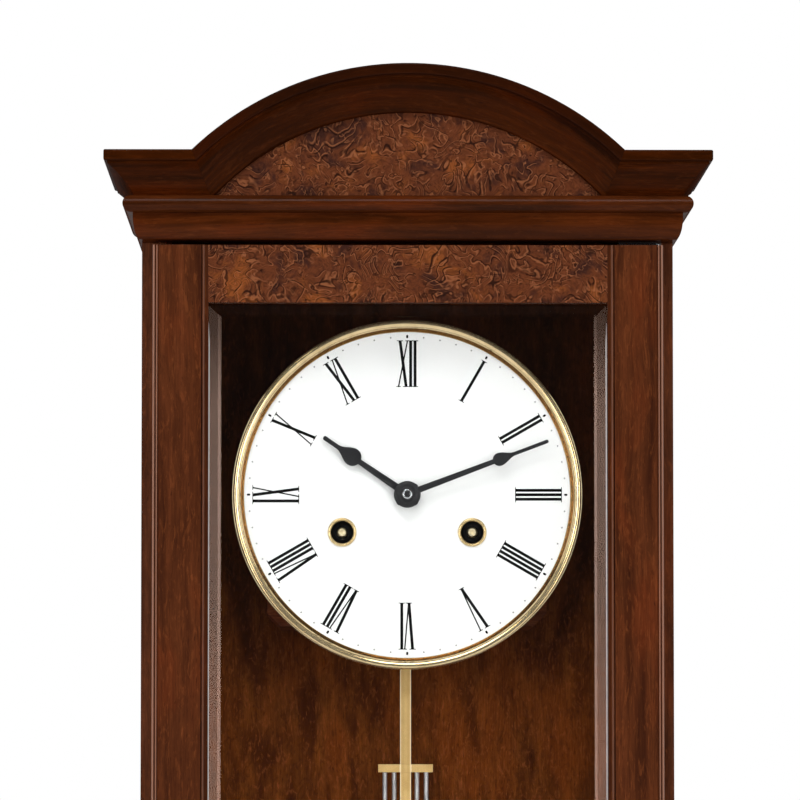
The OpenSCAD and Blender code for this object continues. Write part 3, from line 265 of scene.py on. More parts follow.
def draw_lines(tree, colour, lines, front):
    """Upright lines over a colour, each (|x|, half width, shade, strength), down to 2 mm behind the
    piece's front."""
    x, y = add(tree, "SeparateXYZ", {0: add(tree, "TexCoord").outputs["Object"]}).outputs[:2]
    shown = ramp(tree, y, front + 0.0022, front + 0.0012)
    for middle_x, half, shade, strength in lines:
        off = maths(tree, "ABSOLUTE", maths(tree, "SUBTRACT", maths(tree, "ABSOLUTE", x), middle_x))
        on_line = maths(tree, "MULTIPLY", ramp(tree, off, half, half * 0.3), shown)
        colour = laid_over(tree, colour, on_line, strength, shade)
    return colour


def walnut(name, run, seed, dark=(53, 24, 12), middle=(80, 40, 20), warm=(95, 48, 25),
           red=(100, 44, 20), fleck=0.15, sheen=0.45, edge=0.0006, flame=0.3, lines=(), painted_shade=False,
           streaks=(7, 190), curls=(75, 340)):
    """Stained walnut: wide soft patches, growth streaks along the grain, pale curling flames, short
    dark pores and pale flecks, each a noise stretched along the grain by its own amount. Edges look
    rounded by edge. Each line (|x|, half width, shade, strength) is a pale painted highlight, partly
    a worn edge, or painted shade in a quirk. A board marked for it gets painted shade inside,
    darker towards its top and its sides, and the arch gets painted shade on its fillet."""
    made, tree, shader = new_material(name)
    grain = grain_space(tree, run)
    bend = noise(tree, stretched(tree, grain, (9, 26, 26), (seed, 0, 0)), 1.0, 2).outputs["Color"]
    bend = add(tree, "VectorMath", {0: bend, 1: (0.5, 0.5, 0.5)}, operation="SUBTRACT").outputs[0]
    bend = add(tree, "VectorMath", {0: bend, 1: (0, 0.010, 0.010)}, operation="MULTIPLY").outputs[0]
    grain = add(tree, "VectorMath", {0: grain, 1: bend}, operation="ADD").outputs[0]
    patch = noise(tree, stretched(tree, grain, (14, 38, 38), (seed * 2, 1, 0)), 1.0, 3).outputs[0]
    streak = stretched(tree, grain, (streaks[0], streaks[1], streaks[1]), (seed, seed, 0))
    streak = noise(tree, streak, 1.0, 4, 0.6).outputs[0]
    hair = noise(tree, stretched(tree, grain, (50, 1300, 1300), (0, seed, 0)), 1.0, 2).outputs[0]
    pore = noise(tree, stretched(tree, grain, (170, 2100, 2100), (0, 0, seed)), 1.0, 1).outputs[0]
    spark = noise(tree, stretched(tree, grain, (150, 700, 700), (seed, 3, 1)), 1.0, 2, 0.7).outputs[0]
    colour = blend(tree, ramp(tree, streak, 0.30, 0.55), srgb(*dark), srgb(*middle))
    colour = blend(tree, ramp(tree, streak, 0.50, 0.72), colour, srgb(*warm))
    colour = laid_over(tree, colour, ramp(tree, patch, 0.48, 0.70), 0.65, red)
    colour = laid_over(tree, colour, ramp(tree, patch, 0.50, 0.28), 0.55, dark)
    curl = stretched(tree, grain, (curls[0], curls[1], curls[1]), (seed, 5, 2))
    curl = noise(tree, curl, 1.0, 3, 0.6, 1.4).outputs[0]
    colour = laid_over(tree, colour, ramp(tree, curl, 0.52, 0.70), flame, (140, 74, 38))
    colour = laid_over(tree, colour, ramp(tree, curl, 0.47, 0.32), flame, dark)
    colour = laid_over(tree, colour, ramp(tree, hair, 0.42, 0.62), 0.30, dark)
    pores = ramp(tree, pore, 0.66, 0.74)
    colour = laid_over(tree, colour, pores, 0.55, (24, 11, 6))
    colour = laid_over(tree, colour, ramp(tree, spark, 0.60, 0.74), fleck, (160, 88, 44))
    if lines:
        colour = draw_lines(tree, colour, lines, door_face)
    # Painted shade: the inside face of the board darker towards its top and its sides, where the hood and
    # the case sides shade it.
    if painted_shade:
        x, y, z = add(tree, "SeparateXYZ", {0: add(tree, "TexCoord").outputs["Object"]}).outputs[:3]
        upper = ramp(tree, z, dial_z - 0.15, dial_z - 0.01)
        outer = ramp(tree, maths(tree, "ABSOLUTE", x), 0.080, 0.118)
        both = maths(tree, "MAXIMUM", upper, maths(tree, "MULTIPLY", outer, 0.72))
        inside = ramp(tree, y, cad_box[1].y - 0.0005, cad_box[1].y - 0.0015)
        colour = laid_over(tree, colour, maths(tree, "MULTIPLY", both, inside), 0.8, (18, 6, 1))
    # Painted shade on the arch's fillet, which faces up towards the lamp above.
    if run == "arch":
        reach = add(tree, "SeparateXYZ", {0: grain}).outputs[1]
        fillet = ramp(tree, reach, arch_radius - 0.0075, arch_radius - 0.0055)
        colour = laid_over(tree, colour, fillet, 0.55, (20, 9, 6))
    rough = maths(tree, "MULTIPLY_ADD", hair, 0.2, 0.4)
    height = maths(tree, "SUBTRACT", maths(tree, "MULTIPLY", streak, 0.5), pores)
    round_edge = add(tree, "Bevel", {"Radius": edge}, samples=4).outputs[0]
    bump = add(tree, "Bump", {"Strength": 0.12, "Distance": 0.0003, "Height": height,
                              "Normal": round_edge}).outputs[0]
    connect(tree, shader, Base_Color=colour, Roughness=rough, Normal=bump, Coat_Normal=bump,
            Coat_Weight=lacquer(tree, sheen), Coat_Roughness=0.16, Specular_IOR_Level=0.0)
    return made


def dress(material, *names):
    """A CAD piece gets this finish in all its material slots."""
    for name in names:
        for place in nodes[name].material_slots:
            place.material = material


case_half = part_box("side_frame_right")[1].x
side_stain = (62, 31, 18), (94, 52, 32), (108, 60, 37), (112, 55, 30)
board_stain = (46, 19, 5), (70, 31, 10), (84, 39, 14), (86, 35, 10)
moulding_stain = (48, 19, 4), (72, 31, 9), (86, 39, 12), (90, 36, 10)
back_stain = (62, 26, 5), (97, 48, 14), (120, 63, 21), (120, 56, 14)
plain = {"fleck": 0.04, "sheen": 0.12, "flame": 0.08}
dress(walnut("walnut_left_side", "z", 1.3, *side_stain), "side_frame_left")
dress(walnut("walnut_right_side", "z", 4.1, *side_stain), "side_frame_right")
dress(walnut("walnut_boards", "x", 2.2, *board_stain, **plain), "cornice_board", "bottom_board")
dress(walnut("walnut_mouldings", "mitred", 6.7, *moulding_stain, **plain), "bed_moulding", "base_moulding")
dress(walnut("walnut_plinth", "mitred", 7.9), "base_plinth")
dress(walnut("walnut_back", "z", 3.4, *back_stain, fleck=0.34, sheen=0.1, flame=0.5, painted_shade=True,
             streaks=(30, 110), curls=(140, 330)), "back_board")
dress(walnut("walnut_seat", "x", 8.8, sheen=0.2), "seat_board")
dress(walnut("walnut_brackets", "z", 9.6, sheen=0.2), "seat_brackets")


# Crown. A deep cove with a fillet over it, bent round the arch and mitred to the level shoulders.
# The pediment under it is a panel veneered in walnut burl.
arch_radius = 0.1677
arch_centre_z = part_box("crown_arch")[1].z - arch_radius
crown_stain = (38, 14, 2), (57, 22, 3), (72, 29, 5), (76, 27, 3)
plain["sheen"] = 0.06
dress(walnut("walnut_arch", "arch", 5.2, *crown_stain, **plain), "crown_arch")
dress(walnut("walnut_shoulders", "mitred", 5.9, *crown_stain, **plain), "crown_shoulders")


def burl(name, seed):
    """Walnut burl: brown clouds on coordinates that two noises have pushed about, with the contour
    lines of three more noises drawn over them, each a dark line beside a pale one, and small eyes.
    Two masks break the lines off, so that they end as torn fibres do."""
    made, tree, shader = new_material(name)
    place = stretched(tree, add(tree, "TexCoord").outputs["Object"], (1, 1, 1), (seed, 0, seed))

    def pushed(where, scale, reach):
        """Coordinates moved by up to half of reach, by a noise of that scale."""
        drift = noise(tree, where, scale, 2).outputs["Color"]
        drift = add(tree, "VectorMath", {0: drift, 1: (0.5, 0.5, 0.5)}, operation="SUBTRACT").outputs[0]
        drift = add(tree, "VectorMath", {0: drift, "Scale": reach}, operation="SCALE").outputs[0]
        return add(tree, "VectorMath", {0: where, 1: drift}, operation="ADD").outputs[0]

    def contour(field, times, centre, half):
        """1 on the lines where the field times a count passes a whole number plus centre, else 0."""
        part = maths(tree, "FRACT", maths(tree, "MULTIPLY", field, times))
        off = maths(tree, "ABSOLUTE", maths(tree, "SUBTRACT", part, centre))
        return ramp(tree, off, half, half * 0.3)

    wide = pushed(place, 45, 0.016)
    tight = pushed(wide, 150, 0.004)
    cloud = noise(tree, wide, 55, 4, 0.6).outputs[0]
    fine = noise(tree, tight, 420, 3, 0.6).outputs[0]
    field = noise(tree, tight, 75, 2, 0.5).outputs[0]
    other = noise(tree, stretched(tree, tight, (1, 1, 1), (3, 1, 2)), 120, 2, 0.5).outputs[0]
    group = noise(tree, place, 50, 2).outputs[0]
    long_field = noise(tree, wide, 42, 1, 0.4).outputs[0]
    torn = ramp(tree, noise(tree, place, 150, 2).outputs[0], 0.38, 0.50)
    broken = noise(tree, stretched(tree, place, (1, 1, 1), (2, 0, 5)), 95, 2).outputs[0]
    broken = ramp(tree, broken, 0.46, 0.56)
    colour = blend(tree, ramp(tree, cloud, 0.36, 0.50), srgb(56, 31, 24), srgb(92, 48, 28))
    colour = laid_over(tree, colour, ramp(tree, cloud, 0.52, 0.68), 0.75, (136, 74, 34))
    colour = laid_over(tree, colour, ramp(tree, fine, 0.50, 0.72), 0.35, (116, 64, 40))
    colour = laid_over(tree, colour, ramp(tree, fine, 0.48, 0.30), 0.50, (48, 26, 20))
    ripple = maths(tree, "MULTIPLY", contour(field, 19.0, 0.5, 0.30), ramp(tree, cloud, 0.40, 0.55))
    colour = laid_over(tree, colour, ripple, 0.30, (44, 24, 16))
    here, there = ramp(tree, group, 0.40, 0.56), ramp(tree, group, 0.58, 0.42)
    pale = maths(tree, "ADD", maths(tree, "MULTIPLY", contour(field, 7.0, 0.66, 0.11), here),
                 maths(tree, "MULTIPLY", contour(other, 5.0, 0.64, 0.10), there), clamp=True)
    dark = maths(tree, "ADD", maths(tree, "MULTIPLY", contour(field, 7.0, 0.45, 0.13), here),
                 maths(tree, "MULTIPLY", contour(other, 5.0, 0.45, 0.11), there), clamp=True)
    spots = add(tree, "TexVoronoi", {"Vector": wide, "Scale": 230.0}).outputs["Distance"]
    eyes = maths(tree, "MULTIPLY", ramp(tree, spots, 0.22, 0.10), ramp(tree, group, 0.50, 0.60))
    pale = maths(tree, "MULTIPLY", pale, torn)
    dark = maths(tree, "MULTIPLY", dark, torn)
    flow = maths(tree, "MULTIPLY", contour(long_field, 15.0, 0.50, 0.11), broken)
    beside = maths(tree, "MULTIPLY", contour(long_field, 15.0, 0.70, 0.09), broken)
    pale = maths(tree, "MAXIMUM", pale, beside)
    dark = maths(tree, "MAXIMUM", maths(tree, "MULTIPLY", dark, 0.8), flow)
    colour = laid_over(tree, colour, pale, 0.50, (152, 94, 60))
    colour = laid_over(tree, colour, dark, 0.90, (32, 17, 12))
    colour = laid_over(tree, colour, eyes, 0.80, (30, 17, 14))
    rough = maths(tree, "MULTIPLY_ADD", fine, 0.2, 0.4)
    bump = add(tree, "Bump", {"Strength": 0.08, "Distance": 0.0003, "Height": dark}).outputs[0]
    connect(tree, shader, Base_Color=colour, Roughness=rough, Normal=bump, Coat_Normal=bump,
            Coat_Weight=lacquer(tree, 0.4), Coat_Roughness=0.18, Specular_IOR_Level=0.0)
    return made


dress(burl("burl_pediment", 1.7), "pediment_panel")


# Movement. Rolled brass plates and cut brass wheels between turned pillars, steel anchor and clicks,
# and a plated bell, all bright and lightly lacquered, on the walnut seat board behind the dial.
def metal(name, colour, dark, rough, spread=0.10, turned=None, marked=(500, 500, 500), metallic=1.0,
          lines=(), front=0.0, relief=0.10, inner=None):
    """Polished metal: faint clouds of a second colour, and fine marks that are stretched by marked
    or, on work turned round a centre (x, z), are rings. Turned work may have another colour inside
    a radius, and lines (|x|, half width, shade, strength) may run up a face at y = front."""
    made, tree, shader = new_material(name)
    place = add(tree, "TexCoord").outputs["Object"]
    cloud = noise(tree, place, 75, 3, 0.6).outputs[0]
    if turned is None:
        marks = noise(tree, stretched(tree, place, marked), 4.0, 2).outputs[0]
    else:
        middle = stretched(tree, place, (1, 0, 1), (-turned[0], 0, -turned[1]))
        reach = add(tree, "VectorMath", {0: middle}, operation="LENGTH").outputs["Value"]
        marks = noise(tree, add(tree, "CombineXYZ", {0: reach}).outputs[0], 5200, 2).outputs[0]
    tint = blend(tree, ramp(tree, cloud, 0.35, 0.75), colour, dark)
    if inner:
        tint = blend(tree, ramp(tree, reach, inner[0] + 0.0004, inner[0] - 0.0004), tint, inner[1])
    if lines:
        tint = draw_lines(tree, tint, lines, front)
    round_edge = add(tree, "Bevel", {"Radius": 0.0003}, samples=4).outputs[0]
    bump = add(tree, "Bump", {"Strength": relief, "Distance": 0.00004, "Height": marks,
                              "Normal": round_edge}).outputs[0]
    roughness = maths(tree, "MULTIPLY_ADD", marks, spread, rough)
    connect(tree, shader, Base_Color=tint, Metallic=metallic, Roughness=roughness, Normal=bump)
    return made


brass_light, brass_deep = srgb(226, 188, 120), srgb(206, 164, 92)
steel_light, steel_deep = srgb(206, 209, 212), srgb(178, 182, 187)
rolled_brass = metal("rolled_brass", brass_light, brass_deep, 0.22)
bright_steel = metal("bright_steel", steel_light, steel_deep, 0.16)
dress(rolled_brass, "front_plate", "back_plate", "plate_pillars", "centre_wheel", "hour_wheel",
      "minute_wheel", "second_wheel", "third_wheel", "escape_wheel", "pin_wheel", "gathering_wheel",
      "fly", "time_barrel", "strike_barrel", "suspension_cock", "strike_hammer")
dress(bright_steel, "anchor", "time_click", "strike_click", "suspension_spring", "hand_nut",
      "wall_hanger", "catch_plate")
dress(metal("bell_plate", srgb(214, 214, 210), srgb(190, 190, 186), 0.14), "bell", "bell_stand")


# Dial. A disc of sheet metal painted white, in a spun brass bezel: a high round rim, polished, and a
# small bead between the rim and the paint.
def paint(name, colour, rough, mottle, gloss=0.5):
    """Sprayed paint: one colour a share lighter and darker in wide clouds, with a fine orange peel."""
    made, tree, shader = new_material(name)
    place = add(tree, "TexCoord").outputs["Object"]
    cloud = noise(tree, place, 24, 3).outputs[0]
    peel = noise(tree, place, 900, 2).outputs[0]
    low = tuple(channel * (1 - mottle) for channel in colour[:3]) + (1,)
    high = tuple(min(1.0, channel * (1 + mottle)) for channel in colour[:3]) + (1,)
    bump = add(tree, "Bump", {"Strength": 0.05, "Distance": 0.0001, "Height": peel}).outputs[0]
    connect(tree, shader, Base_Color=blend(tree, cloud, low, high),
            Roughness=maths(tree, "MULTIPLY_ADD", peel, 0.08, rough), Normal=bump,
            Specular_IOR_Level=gloss)
    return made


dress(paint("dial_paint", srgb(233, 233, 233), 0.42, 0.008), "dial_plate")
bead_r = 0.0905
# Inside bead_r the brass is darker: painted dark reflection, the room mirrored in the small bead and step
# next to the paint.
spun_brass = metal("spun_brass", srgb(236, 212, 166), srgb(220, 194, 146), 0.13, 0.05, turned=(0, dial_z),
                   metallic=0.92, relief=0.01, inner=(bead_r, srgb(158, 122, 74)))


def grid_faces(rows, columns, loop=False):
    """Quads of a grid of points stored row by row: each row is a closed ring, and the last row joins
    the first where loop is set."""
    row, column = np.meshgrid(np.arange(rows if loop else rows - 1), np.arange(columns), indexing="ij")
    beside, after = (column + 1) % columns, (row + 1) % rows
    return np.stack([row * columns + column, row * columns + beside,
                     after * columns + beside, after * columns + column], -1).reshape(-1, 4)


def turned_part(profile, centre, sides=64, hollow=False, corner=2.0, base=0.0):
    """A profile of (radius, height over base) swept round the y axis at centre (x, z), where base is
    a depth towards the viewer. Its ends lie on the axis and become poles, or meet each other round a
    hollow. The radius is times (|cos|^corner + |sin|^corner)^(-1/corner): round for 2, squarer above."""
    profile = np.asarray(profile, float) + (0, base)
    angle = np.arange(sides) * 2 * math.pi / sides
    swell = (np.abs(np.cos(angle)) ** corner + np.abs(np.sin(angle)) ** corner) ** (-1 / corner)
    ring = profile if hollow else profile[1:-1]
    points = np.zeros((len(ring), sides, 3))
    points[..., 0] = centre[0] + ring[:, :1] * swell * np.cos(angle)
    points[..., 2] = centre[1] + ring[:, :1] * swell * np.sin(angle)
    points[..., 1] = -ring[:, 1:]
    faces = grid_faces(len(ring), sides, hollow).tolist()
    flat = points.reshape(-1, 3)
    if hollow:
        return flat, faces
    poles = [[centre[0], -profile[0, 1], centre[1]], [centre[0], -profile[-1, 1], centre[1]]]
    first, last = np.full((2, sides), [[len(flat)], [len(flat) + 1]])
    start = (len(ring) - 1) * sides
    side = np.arange(sides)
    after = (side + 1) % sides
    fans = np.stack([first, after, side, last, start + side, start + after], 1)
    return np.concatenate([flat, poles]), faces + fans.reshape(-1, 3).tolist()


def make_piece(name, parts, material, body, smooth=False):
    """One mesh object from several (points, faces) parts, facing outwards, riding on a body."""
    points, faces, start = [], [], 0
    for part_points, part_faces in parts:
        points.append(part_points)
        faces.extend([start + int(corner) for corner in face] for face in part_faces)
        start += len(part_points)
    mesh = bpy.data.meshes.new(name)
    mesh.from_pydata(np.concatenate(points).tolist(), [], faces)
    shell = bmesh.new()
    shell.from_mesh(mesh)
    bmesh.ops.recalc_face_normals(shell, faces=shell.faces)
    shell.to_mesh(mesh)
    shell.free()
    mesh.materials.append(material)
    mesh.polygons.foreach_set("use_smooth", [smooth] * len(mesh.polygons))
    made = bpy.data.objects.new(name, mesh)
    bpy.context.scene.collection.objects.link(made)
    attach(made, body)
    return made


def arc(centre, across, high, start, end, count):
    """Points (radius, height) on an ellipse round a centre, between two angles in degrees, which run
    from outwards (0) over the crest (90) to inwards (180)."""
    angle = np.radians(np.linspace(start, end, count))
    return np.stack([centre[0] + across * np.cos(angle), centre[1] + high * np.sin(angle)], 1).tolist()


bezel_low, bezel_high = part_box("dial_bezel")
bezel_r, dial_front = (bezel_high.x - bezel_low.x) / 2, -dial_face
rim_width, crest_in, rim_rise, wall = 0.0048, 0.0018, 0.0027, 0.0014
crest, rim_in, wall_r = (bezel_r - crest_in, 0.0022), bezel_r - rim_width, bezel_r - wall
wall_back = dial_face - bezel_high.y
bezel_profile = ([(bezel_r, wall_back), (bezel_r, wall_back + 0.0001), (bezel_r, 0.0012)]
                 + arc(crest, crest_in, rim_rise, 0, 86, 13)
                 + arc(crest, rim_width - crest_in, rim_rise, 90, 180, 15)
                 + arc((rim_in - 0.0005, 0.0012), 0.0005, 0.0006, 0, -90, 5)
                 + arc((rim_in - 0.0011, 0.0007), 0.0006, 0.0007, 80, 180, 8)
                 + [(rim_in - 0.0017, 0), (wall_r - 0.0002, 0), (wall_r, -0.0002),
                    (wall_r, wall_back + 0.0001), (wall_r, wall_back)])
bezel_centre = ((bezel_low.x + bezel_high.x) / 2, (bezel_low.z + bezel_high.z) / 2)
bezel_ring = turned_part(bezel_profile, bezel_centre, 256, True, base=dial_front)
dressed_bezel = make_piece("dressed_bezel", [bezel_ring], spun_brass, "case", True)
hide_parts("dial_bezel")


# Dial printing. Tall Roman numerals that all stand outwards, screen-printed in black, a short bar at
# each hour and a small grey dot at each minute.
numeral_foot = 0.0586
numeral_height = 0.0254
thick_stroke, thin_stroke = 0.00160, 0.00074
stroke_pitch = 0.00241
bar_height, serif_height = 0.00042, 0.0011
print_depth, crossing_step = 0.00005, 0.000004


def solid_strip(rows_left, rows_right, low_y, high_y):
    """Vertices and faces of a thin plate whose outline runs up rows_left and down rows_right, both
    (n, 2) arrays of x and z. Ladder faces close front and back, and a band closes the edge."""
    count = len(rows_left)
    ring = np.concatenate([rows_left, rows_right[::-1]])
    points = np.zeros((4 * count, 3))
    points[:2 * count, [0, 2]] = ring
    points[:2 * count, 1] = low_y
    points[2 * count:, [0, 2]] = ring
    points[2 * count:, 1] = high_y
    step = np.arange(count - 1)
    front = np.stack([step, 2 * count - 1 - step, 2 * count - 2 - step, step + 1], 1)
    back = front[:, ::-1] + 2 * count
    edge = np.arange(2 * count)
    following = (edge + 1) % (2 * count)
    band = np.stack([edge, following, following + 2 * count, edge + 2 * count], 1)
    return points, np.concatenate([front, back, band])


def stroke(foot, head, width):
    """Left and right outline of one stroke that leans from foot to head, with a flat serif at each
    end: half-width = width/2 + serif on the bar, and width/2 + serif/2*(1 - t/serif height)^3 from
    there on, t being the distance from the stroke's nearer end."""
    serif = 0.00095 if width == thick_stroke else 0.00085
    near = np.array([0, bar_height, bar_height + 0.000001, 0.0005, 0.0006, 0.0008, serif_height])
    t = np.concatenate([near, numeral_height - near[::-1]])
    inner = np.minimum(t, numeral_height - t)
    hollow = np.clip(1 - inner / serif_height, 0, 1) ** 3 * 0.5
    middle = foot + (head - foot) * t / numeral_height
    half = width / 2 + serif * np.where(inner < bar_height + 0.0000005, 1.0, hollow)
    return np.stack([middle - half, t], 1), np.stack([middle + half, t], 1)


def numeral_strokes(text):
    """Strokes (foot, head, width) of a numeral set from left to right and centred on zero: one for
    an I, two that meet at the foot for a V, and two that cross for an X."""
    strokes, x = [], 0.0
    for letter in text:
        if letter == "I":
            strokes.append((x, x, thick_stroke))
            x += stroke_pitch
        elif letter == "V":
            strokes += [(x + 0.0020, x, thick_stroke), (x + 0.0022, x + 0.0043, thin_stroke)]
            x += 0.0059
        else:
            strokes += [(x + 0.0042, x + 0.0008, thick_stroke), (x, x + 0.0049, thin_stroke)]
            x += 0.0066
    left = min(min(foot, head) - width / 2 for foot, head, width in strokes)
    right = max(max(foot, head) + width / 2 for foot, head, width in strokes)
    return [(foot - (left + right) / 2, head - (left + right) / 2, width) for foot, head, width in strokes]


def on_dial(points, turn):
    """Points (across, out) from the dial's centre, turned clockwise from twelve."""
    out = np.array([math.sin(turn), math.cos(turn)])
    across = np.array([math.cos(turn), -math.sin(turn)])
    return points[:, :1] * across + points[:, 1:] * out + np.array([0, dial_z])


numerals = []
for hour, text in enumerate("I II III IIII V VI VII VIII IX X XI XII".split(), 1):
    for index, (foot, head, width) in enumerate(numeral_strokes(text)):
        sides = [on_dial(side + np.array([0, numeral_foot]), hour * math.pi / 6)
                 for side in stroke(foot, head, width)]
        lift = print_depth + (index % 2) * crossing_step
        numerals.append(solid_strip(sides[1], sides[0], dial_face - lift, dial_face + print_depth))
printing_ink = paint("printing_ink", srgb(7, 7, 8), 0.6, 0.2, gloss=0.08)
make_piece("hour_numerals", numerals, printing_ink, "case")


def disc_mark(half_width, half_length, out, turn, sides=12):
    """A small rounded mark at a distance out from the centre: its half width is cos(a)^0.6 and its
    height is sin(a), each times its half size, as a runs from its foot to its head."""
    rise = np.linspace(-math.pi / 2, math.pi / 2, sides // 2 + 1)
    shape = np.stack([half_width * np.cos(rise) ** 0.6, out + half_length * np.sin(rise)], 1)
    other = shape * np.array([-1, 1])
    return solid_strip(on_dial(shape, turn), on_dial(other, turn), dial_face - print_depth,
                       dial_face + print_depth)


mark_half, mark_out = (0.00060, 0.00096), 0.0861
dot_half, dot_out = (0.00044, 0.00044), 0.0859
hour_marks = [disc_mark(*mark_half, mark_out, hour * math.pi / 6) for hour in range(12)]
minute_dots = [disc_mark(*dot_half, dot_out, minute * math.pi / 30, 8)
               for minute in range(60) if minute % 5]
dot_ink = paint("dot_ink", srgb(104, 104, 106), 0.5, 0.1)
make_piece("hour_marks", hour_marks, printing_ink, "case")
make_piece("minute_dots", minute_dots, dot_ink, "case")


# Winding holes. A small brass ring lines each hole, a black disc behind it is painted shade that keeps
# the hole dark and hides the plates, and the pale brass end of the winding arbor, which the key turns,
# stands in the middle.
hole_shade_black = paint("hole_shade_black", srgb(9, 8, 8), 0.6, 0.2, gloss=0.08)
pale_brass = metal("key_squares", srgb(236, 222, 186), srgb(212, 192, 142), 0.24, metallic=0.6)
grommet_brass = metal("grommet_brass", srgb(226, 202, 152), srgb(204, 176, 124), 0.18, metallic=0.75,
                      relief=0.02)
dress(pale_brass, "time_winding_arbor", "strike_winding_arbor")
hole_ends = {}
for train in ("time", "strike"):
    low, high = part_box(train + "_barrel")
    hole_ends[train] = ((low.x + high.x) / 2, (low.z + high.z) / 2)
hole_r, shade_disc_at, square_at = 0.0061, dial_front - 0.0029, dial_front - 0.0030
grommet_profile = (arc((0.0070, 0.0001), 0.00085, 0.0013, 0, 110, 12)
                   + [(hole_r + 0.0001, 0.0006), (hole_r, 0), (hole_r, -0.0026), (0.0069, -0.0026),
                      (0.0069, 0)])
shade_disc_profile = [(0.0029, 0), (0.00612, 0), (0.00612, 0.0006), (0.0032, 0.0006), (0.0029, 0.0004)]
square_profile = [(0, 0), (0.0020, 0), (0.0022, 0.0002), (0.0022, 0.0013), (0.0020, 0.0018),
                  (0.0011, 0.0018), (0.0006, 0.0013), (0, 0.0013)]
grommets = [turned_part(grommet_profile, place, 96, True, base=dial_front) for place in hole_ends.values()]
dressed_grommets = make_piece("dressed_grommets", grommets, grommet_brass, "case", True)
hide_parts("winding_grommets")
shade_discs = [turned_part(shade_disc_profile, place, hollow=True, base=shade_disc_at) for place in hole_ends.values()]
make_piece("hole_shade_discs", shade_discs, hole_shade_black, "case", True)
for train, place in hole_ends.items():
    square = turned_part(square_profile, place, 48, base=square_at)
    make_piece(train + "_key_square", [square], pale_brass, train + "_winding")


# Hands. Blanked from steel, drawn up to a soft crown, each with a pear-shaped bulb and a flanged
# collet, and painted satin black. A bright round nut holds the minute hand on the squared arbor.
def hand_blade(length, root, waist, bulb_at, bulb, tip, run, turn, depth):
    """A hand as a crowned sheet on a grid (s along, v across). Half-width: a taper from root to
    waist, a round bulb up to bulb_at, half a cosine from there down to the tip within run, and a
    rounded end. Height = thickness*(0.35 + 0.65*(1 - |v|^4)^0.5)."""
    s = np.unique(np.concatenate([np.linspace(0, length, 150), bulb_at + bulb * np.linspace(-1, 1, 40)]))
    taper = root + (waist - root) * s / bulb_at
    swell = np.sqrt(np.clip(bulb ** 2 - (s - bulb_at) ** 2, 0, None))
    ogee = tip + (bulb - tip) * (1 + np.cos(np.pi * np.clip((s - bulb_at) / run, 0, 1))) / 2
    half = np.where(s < bulb_at, np.maximum(taper, swell), ogee)
    past = np.clip((s - length + 0.0006) / 0.0007, 0, None)
    half = half * np.sqrt(np.clip(1 - past ** 2, 0.05, 1))
    v = np.sin(np.linspace(-math.pi / 2, math.pi / 2, 13))
    crown = blade_thickness * (0.35 + 0.65 * np.sqrt(1 - np.abs(v) ** 4))
    out = np.array([math.sin(turn), math.cos(turn)])
    across = np.array([math.cos(turn), -math.sin(turn)])
    flat = s[:, None, None] * out + (half[:, None] * v)[..., None] * across
    front = np.stack([flat[..., 0], np.broadcast_to(-depth - crown, flat.shape[:2]),
                      flat[..., 1] + dial_z], -1)
    back = front.copy()
    back[..., 1] = -depth
    around = np.concatenate([front, back[:, ::-1]], 1)
    rows, columns = around.shape[:2]
    faces = grid_faces(rows, columns).tolist()
    cap = np.arange(columns)
    faces += [cap[::-1].tolist(), (cap + (rows - 1) * columns).tolist()]
    return around.reshape(-1, 3), faces


satin_black = paint("satin_black", srgb(32, 32, 34), 0.3, 0.15, gloss=0.22)
shown_minute, hour_lag = 11.55, 1.4
minute_turn = math.radians(6 * shown_minute)
hour_turn = math.radians(30 * (10 + shown_minute / 60) - hour_lag)
hour_depth = -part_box("hour_hand")[0].y - 0.0012
minute_depth = -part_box("minute_hand")[0].y - 0.0013
hour_length, minute_length, blade_thickness = 0.055, 0.0818, 0.0009
arbor_at = (0, dial_z)
hour_blade = hand_blade(hour_length, root=0.0021, waist=0.0014, bulb_at=0.655 * hour_length, bulb=0.0049,
                        tip=0.0012, run=0.010, turn=hour_turn, depth=hour_depth)
minute_blade = hand_blade(minute_length, root=0.0018, waist=0.0013, bulb_at=0.652 * minute_length,
                          bulb=0.0036, tip=0.0010, run=0.009, turn=minute_turn, depth=minute_depth)
hour_collet = turned_part([(0, -0.0007), (0.0046, -0.0007), (0.0046, 0), (0.0071, 0), (0.0073, 0.0002),
                           (0.0073, 0.0009), (0.0070, 0.0012), (0.0058, 0.0012), (0.0054, 0.0009),
                           (0, 0.0009)], arbor_at, base=hour_depth)
hour_flange = turned_part([(0, -0.0001), (0.0060, -0.0001), (0.0062, 0.0001), (0.0062, 0.0005),
                           (0.0060, 0.0007), (0, 0.0007)], arbor_at, corner=5.0, base=hour_depth)
minute_collet = turned_part([(0, -0.0006), (0.0044, -0.0006), (0.0044, 0), (0.0068, 0), (0.0070, 0.0002),
                             (0.0070, 0.0006), (0.0064, 0.0009), (0.0060, 0.0009), (0.0058, 0.0013),
                             (0.0048, 0.0013), (0.0045, 0.0010), (0.0039, 0.0010), (0.0037, 0.0014),
                             (0, 0.0014)], arbor_at, base=minute_depth)
dressed_hour = make_piece("dressed_hour_hand", [hour_blade, hour_collet, hour_flange], satin_black, "hour",
                          True)
dressed_minute = make_piece("dressed_minute_hand", [minute_blade, minute_collet], satin_black, "minute",
                            True)
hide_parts("hour_hand")
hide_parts("minute_hand")
nut_at, tip_at = minute_depth + 0.0013, minute_depth + 0.0023
nut = turned_part([(0.00135, 0), (0.00275, 0), (0.0029, 0.0002), (0.0029, 0.0009), (0.0026, 0.0014),
                   (0.0020, 0.0017), (0.0016, 0.0016), (0.00135, 0.0012)], arbor_at, hollow=True,
                  base=nut_at)
dressed_nut = make_piece("dressed_hand_nut", [nut], bright_steel, "minute", True)
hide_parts("hand_nut")
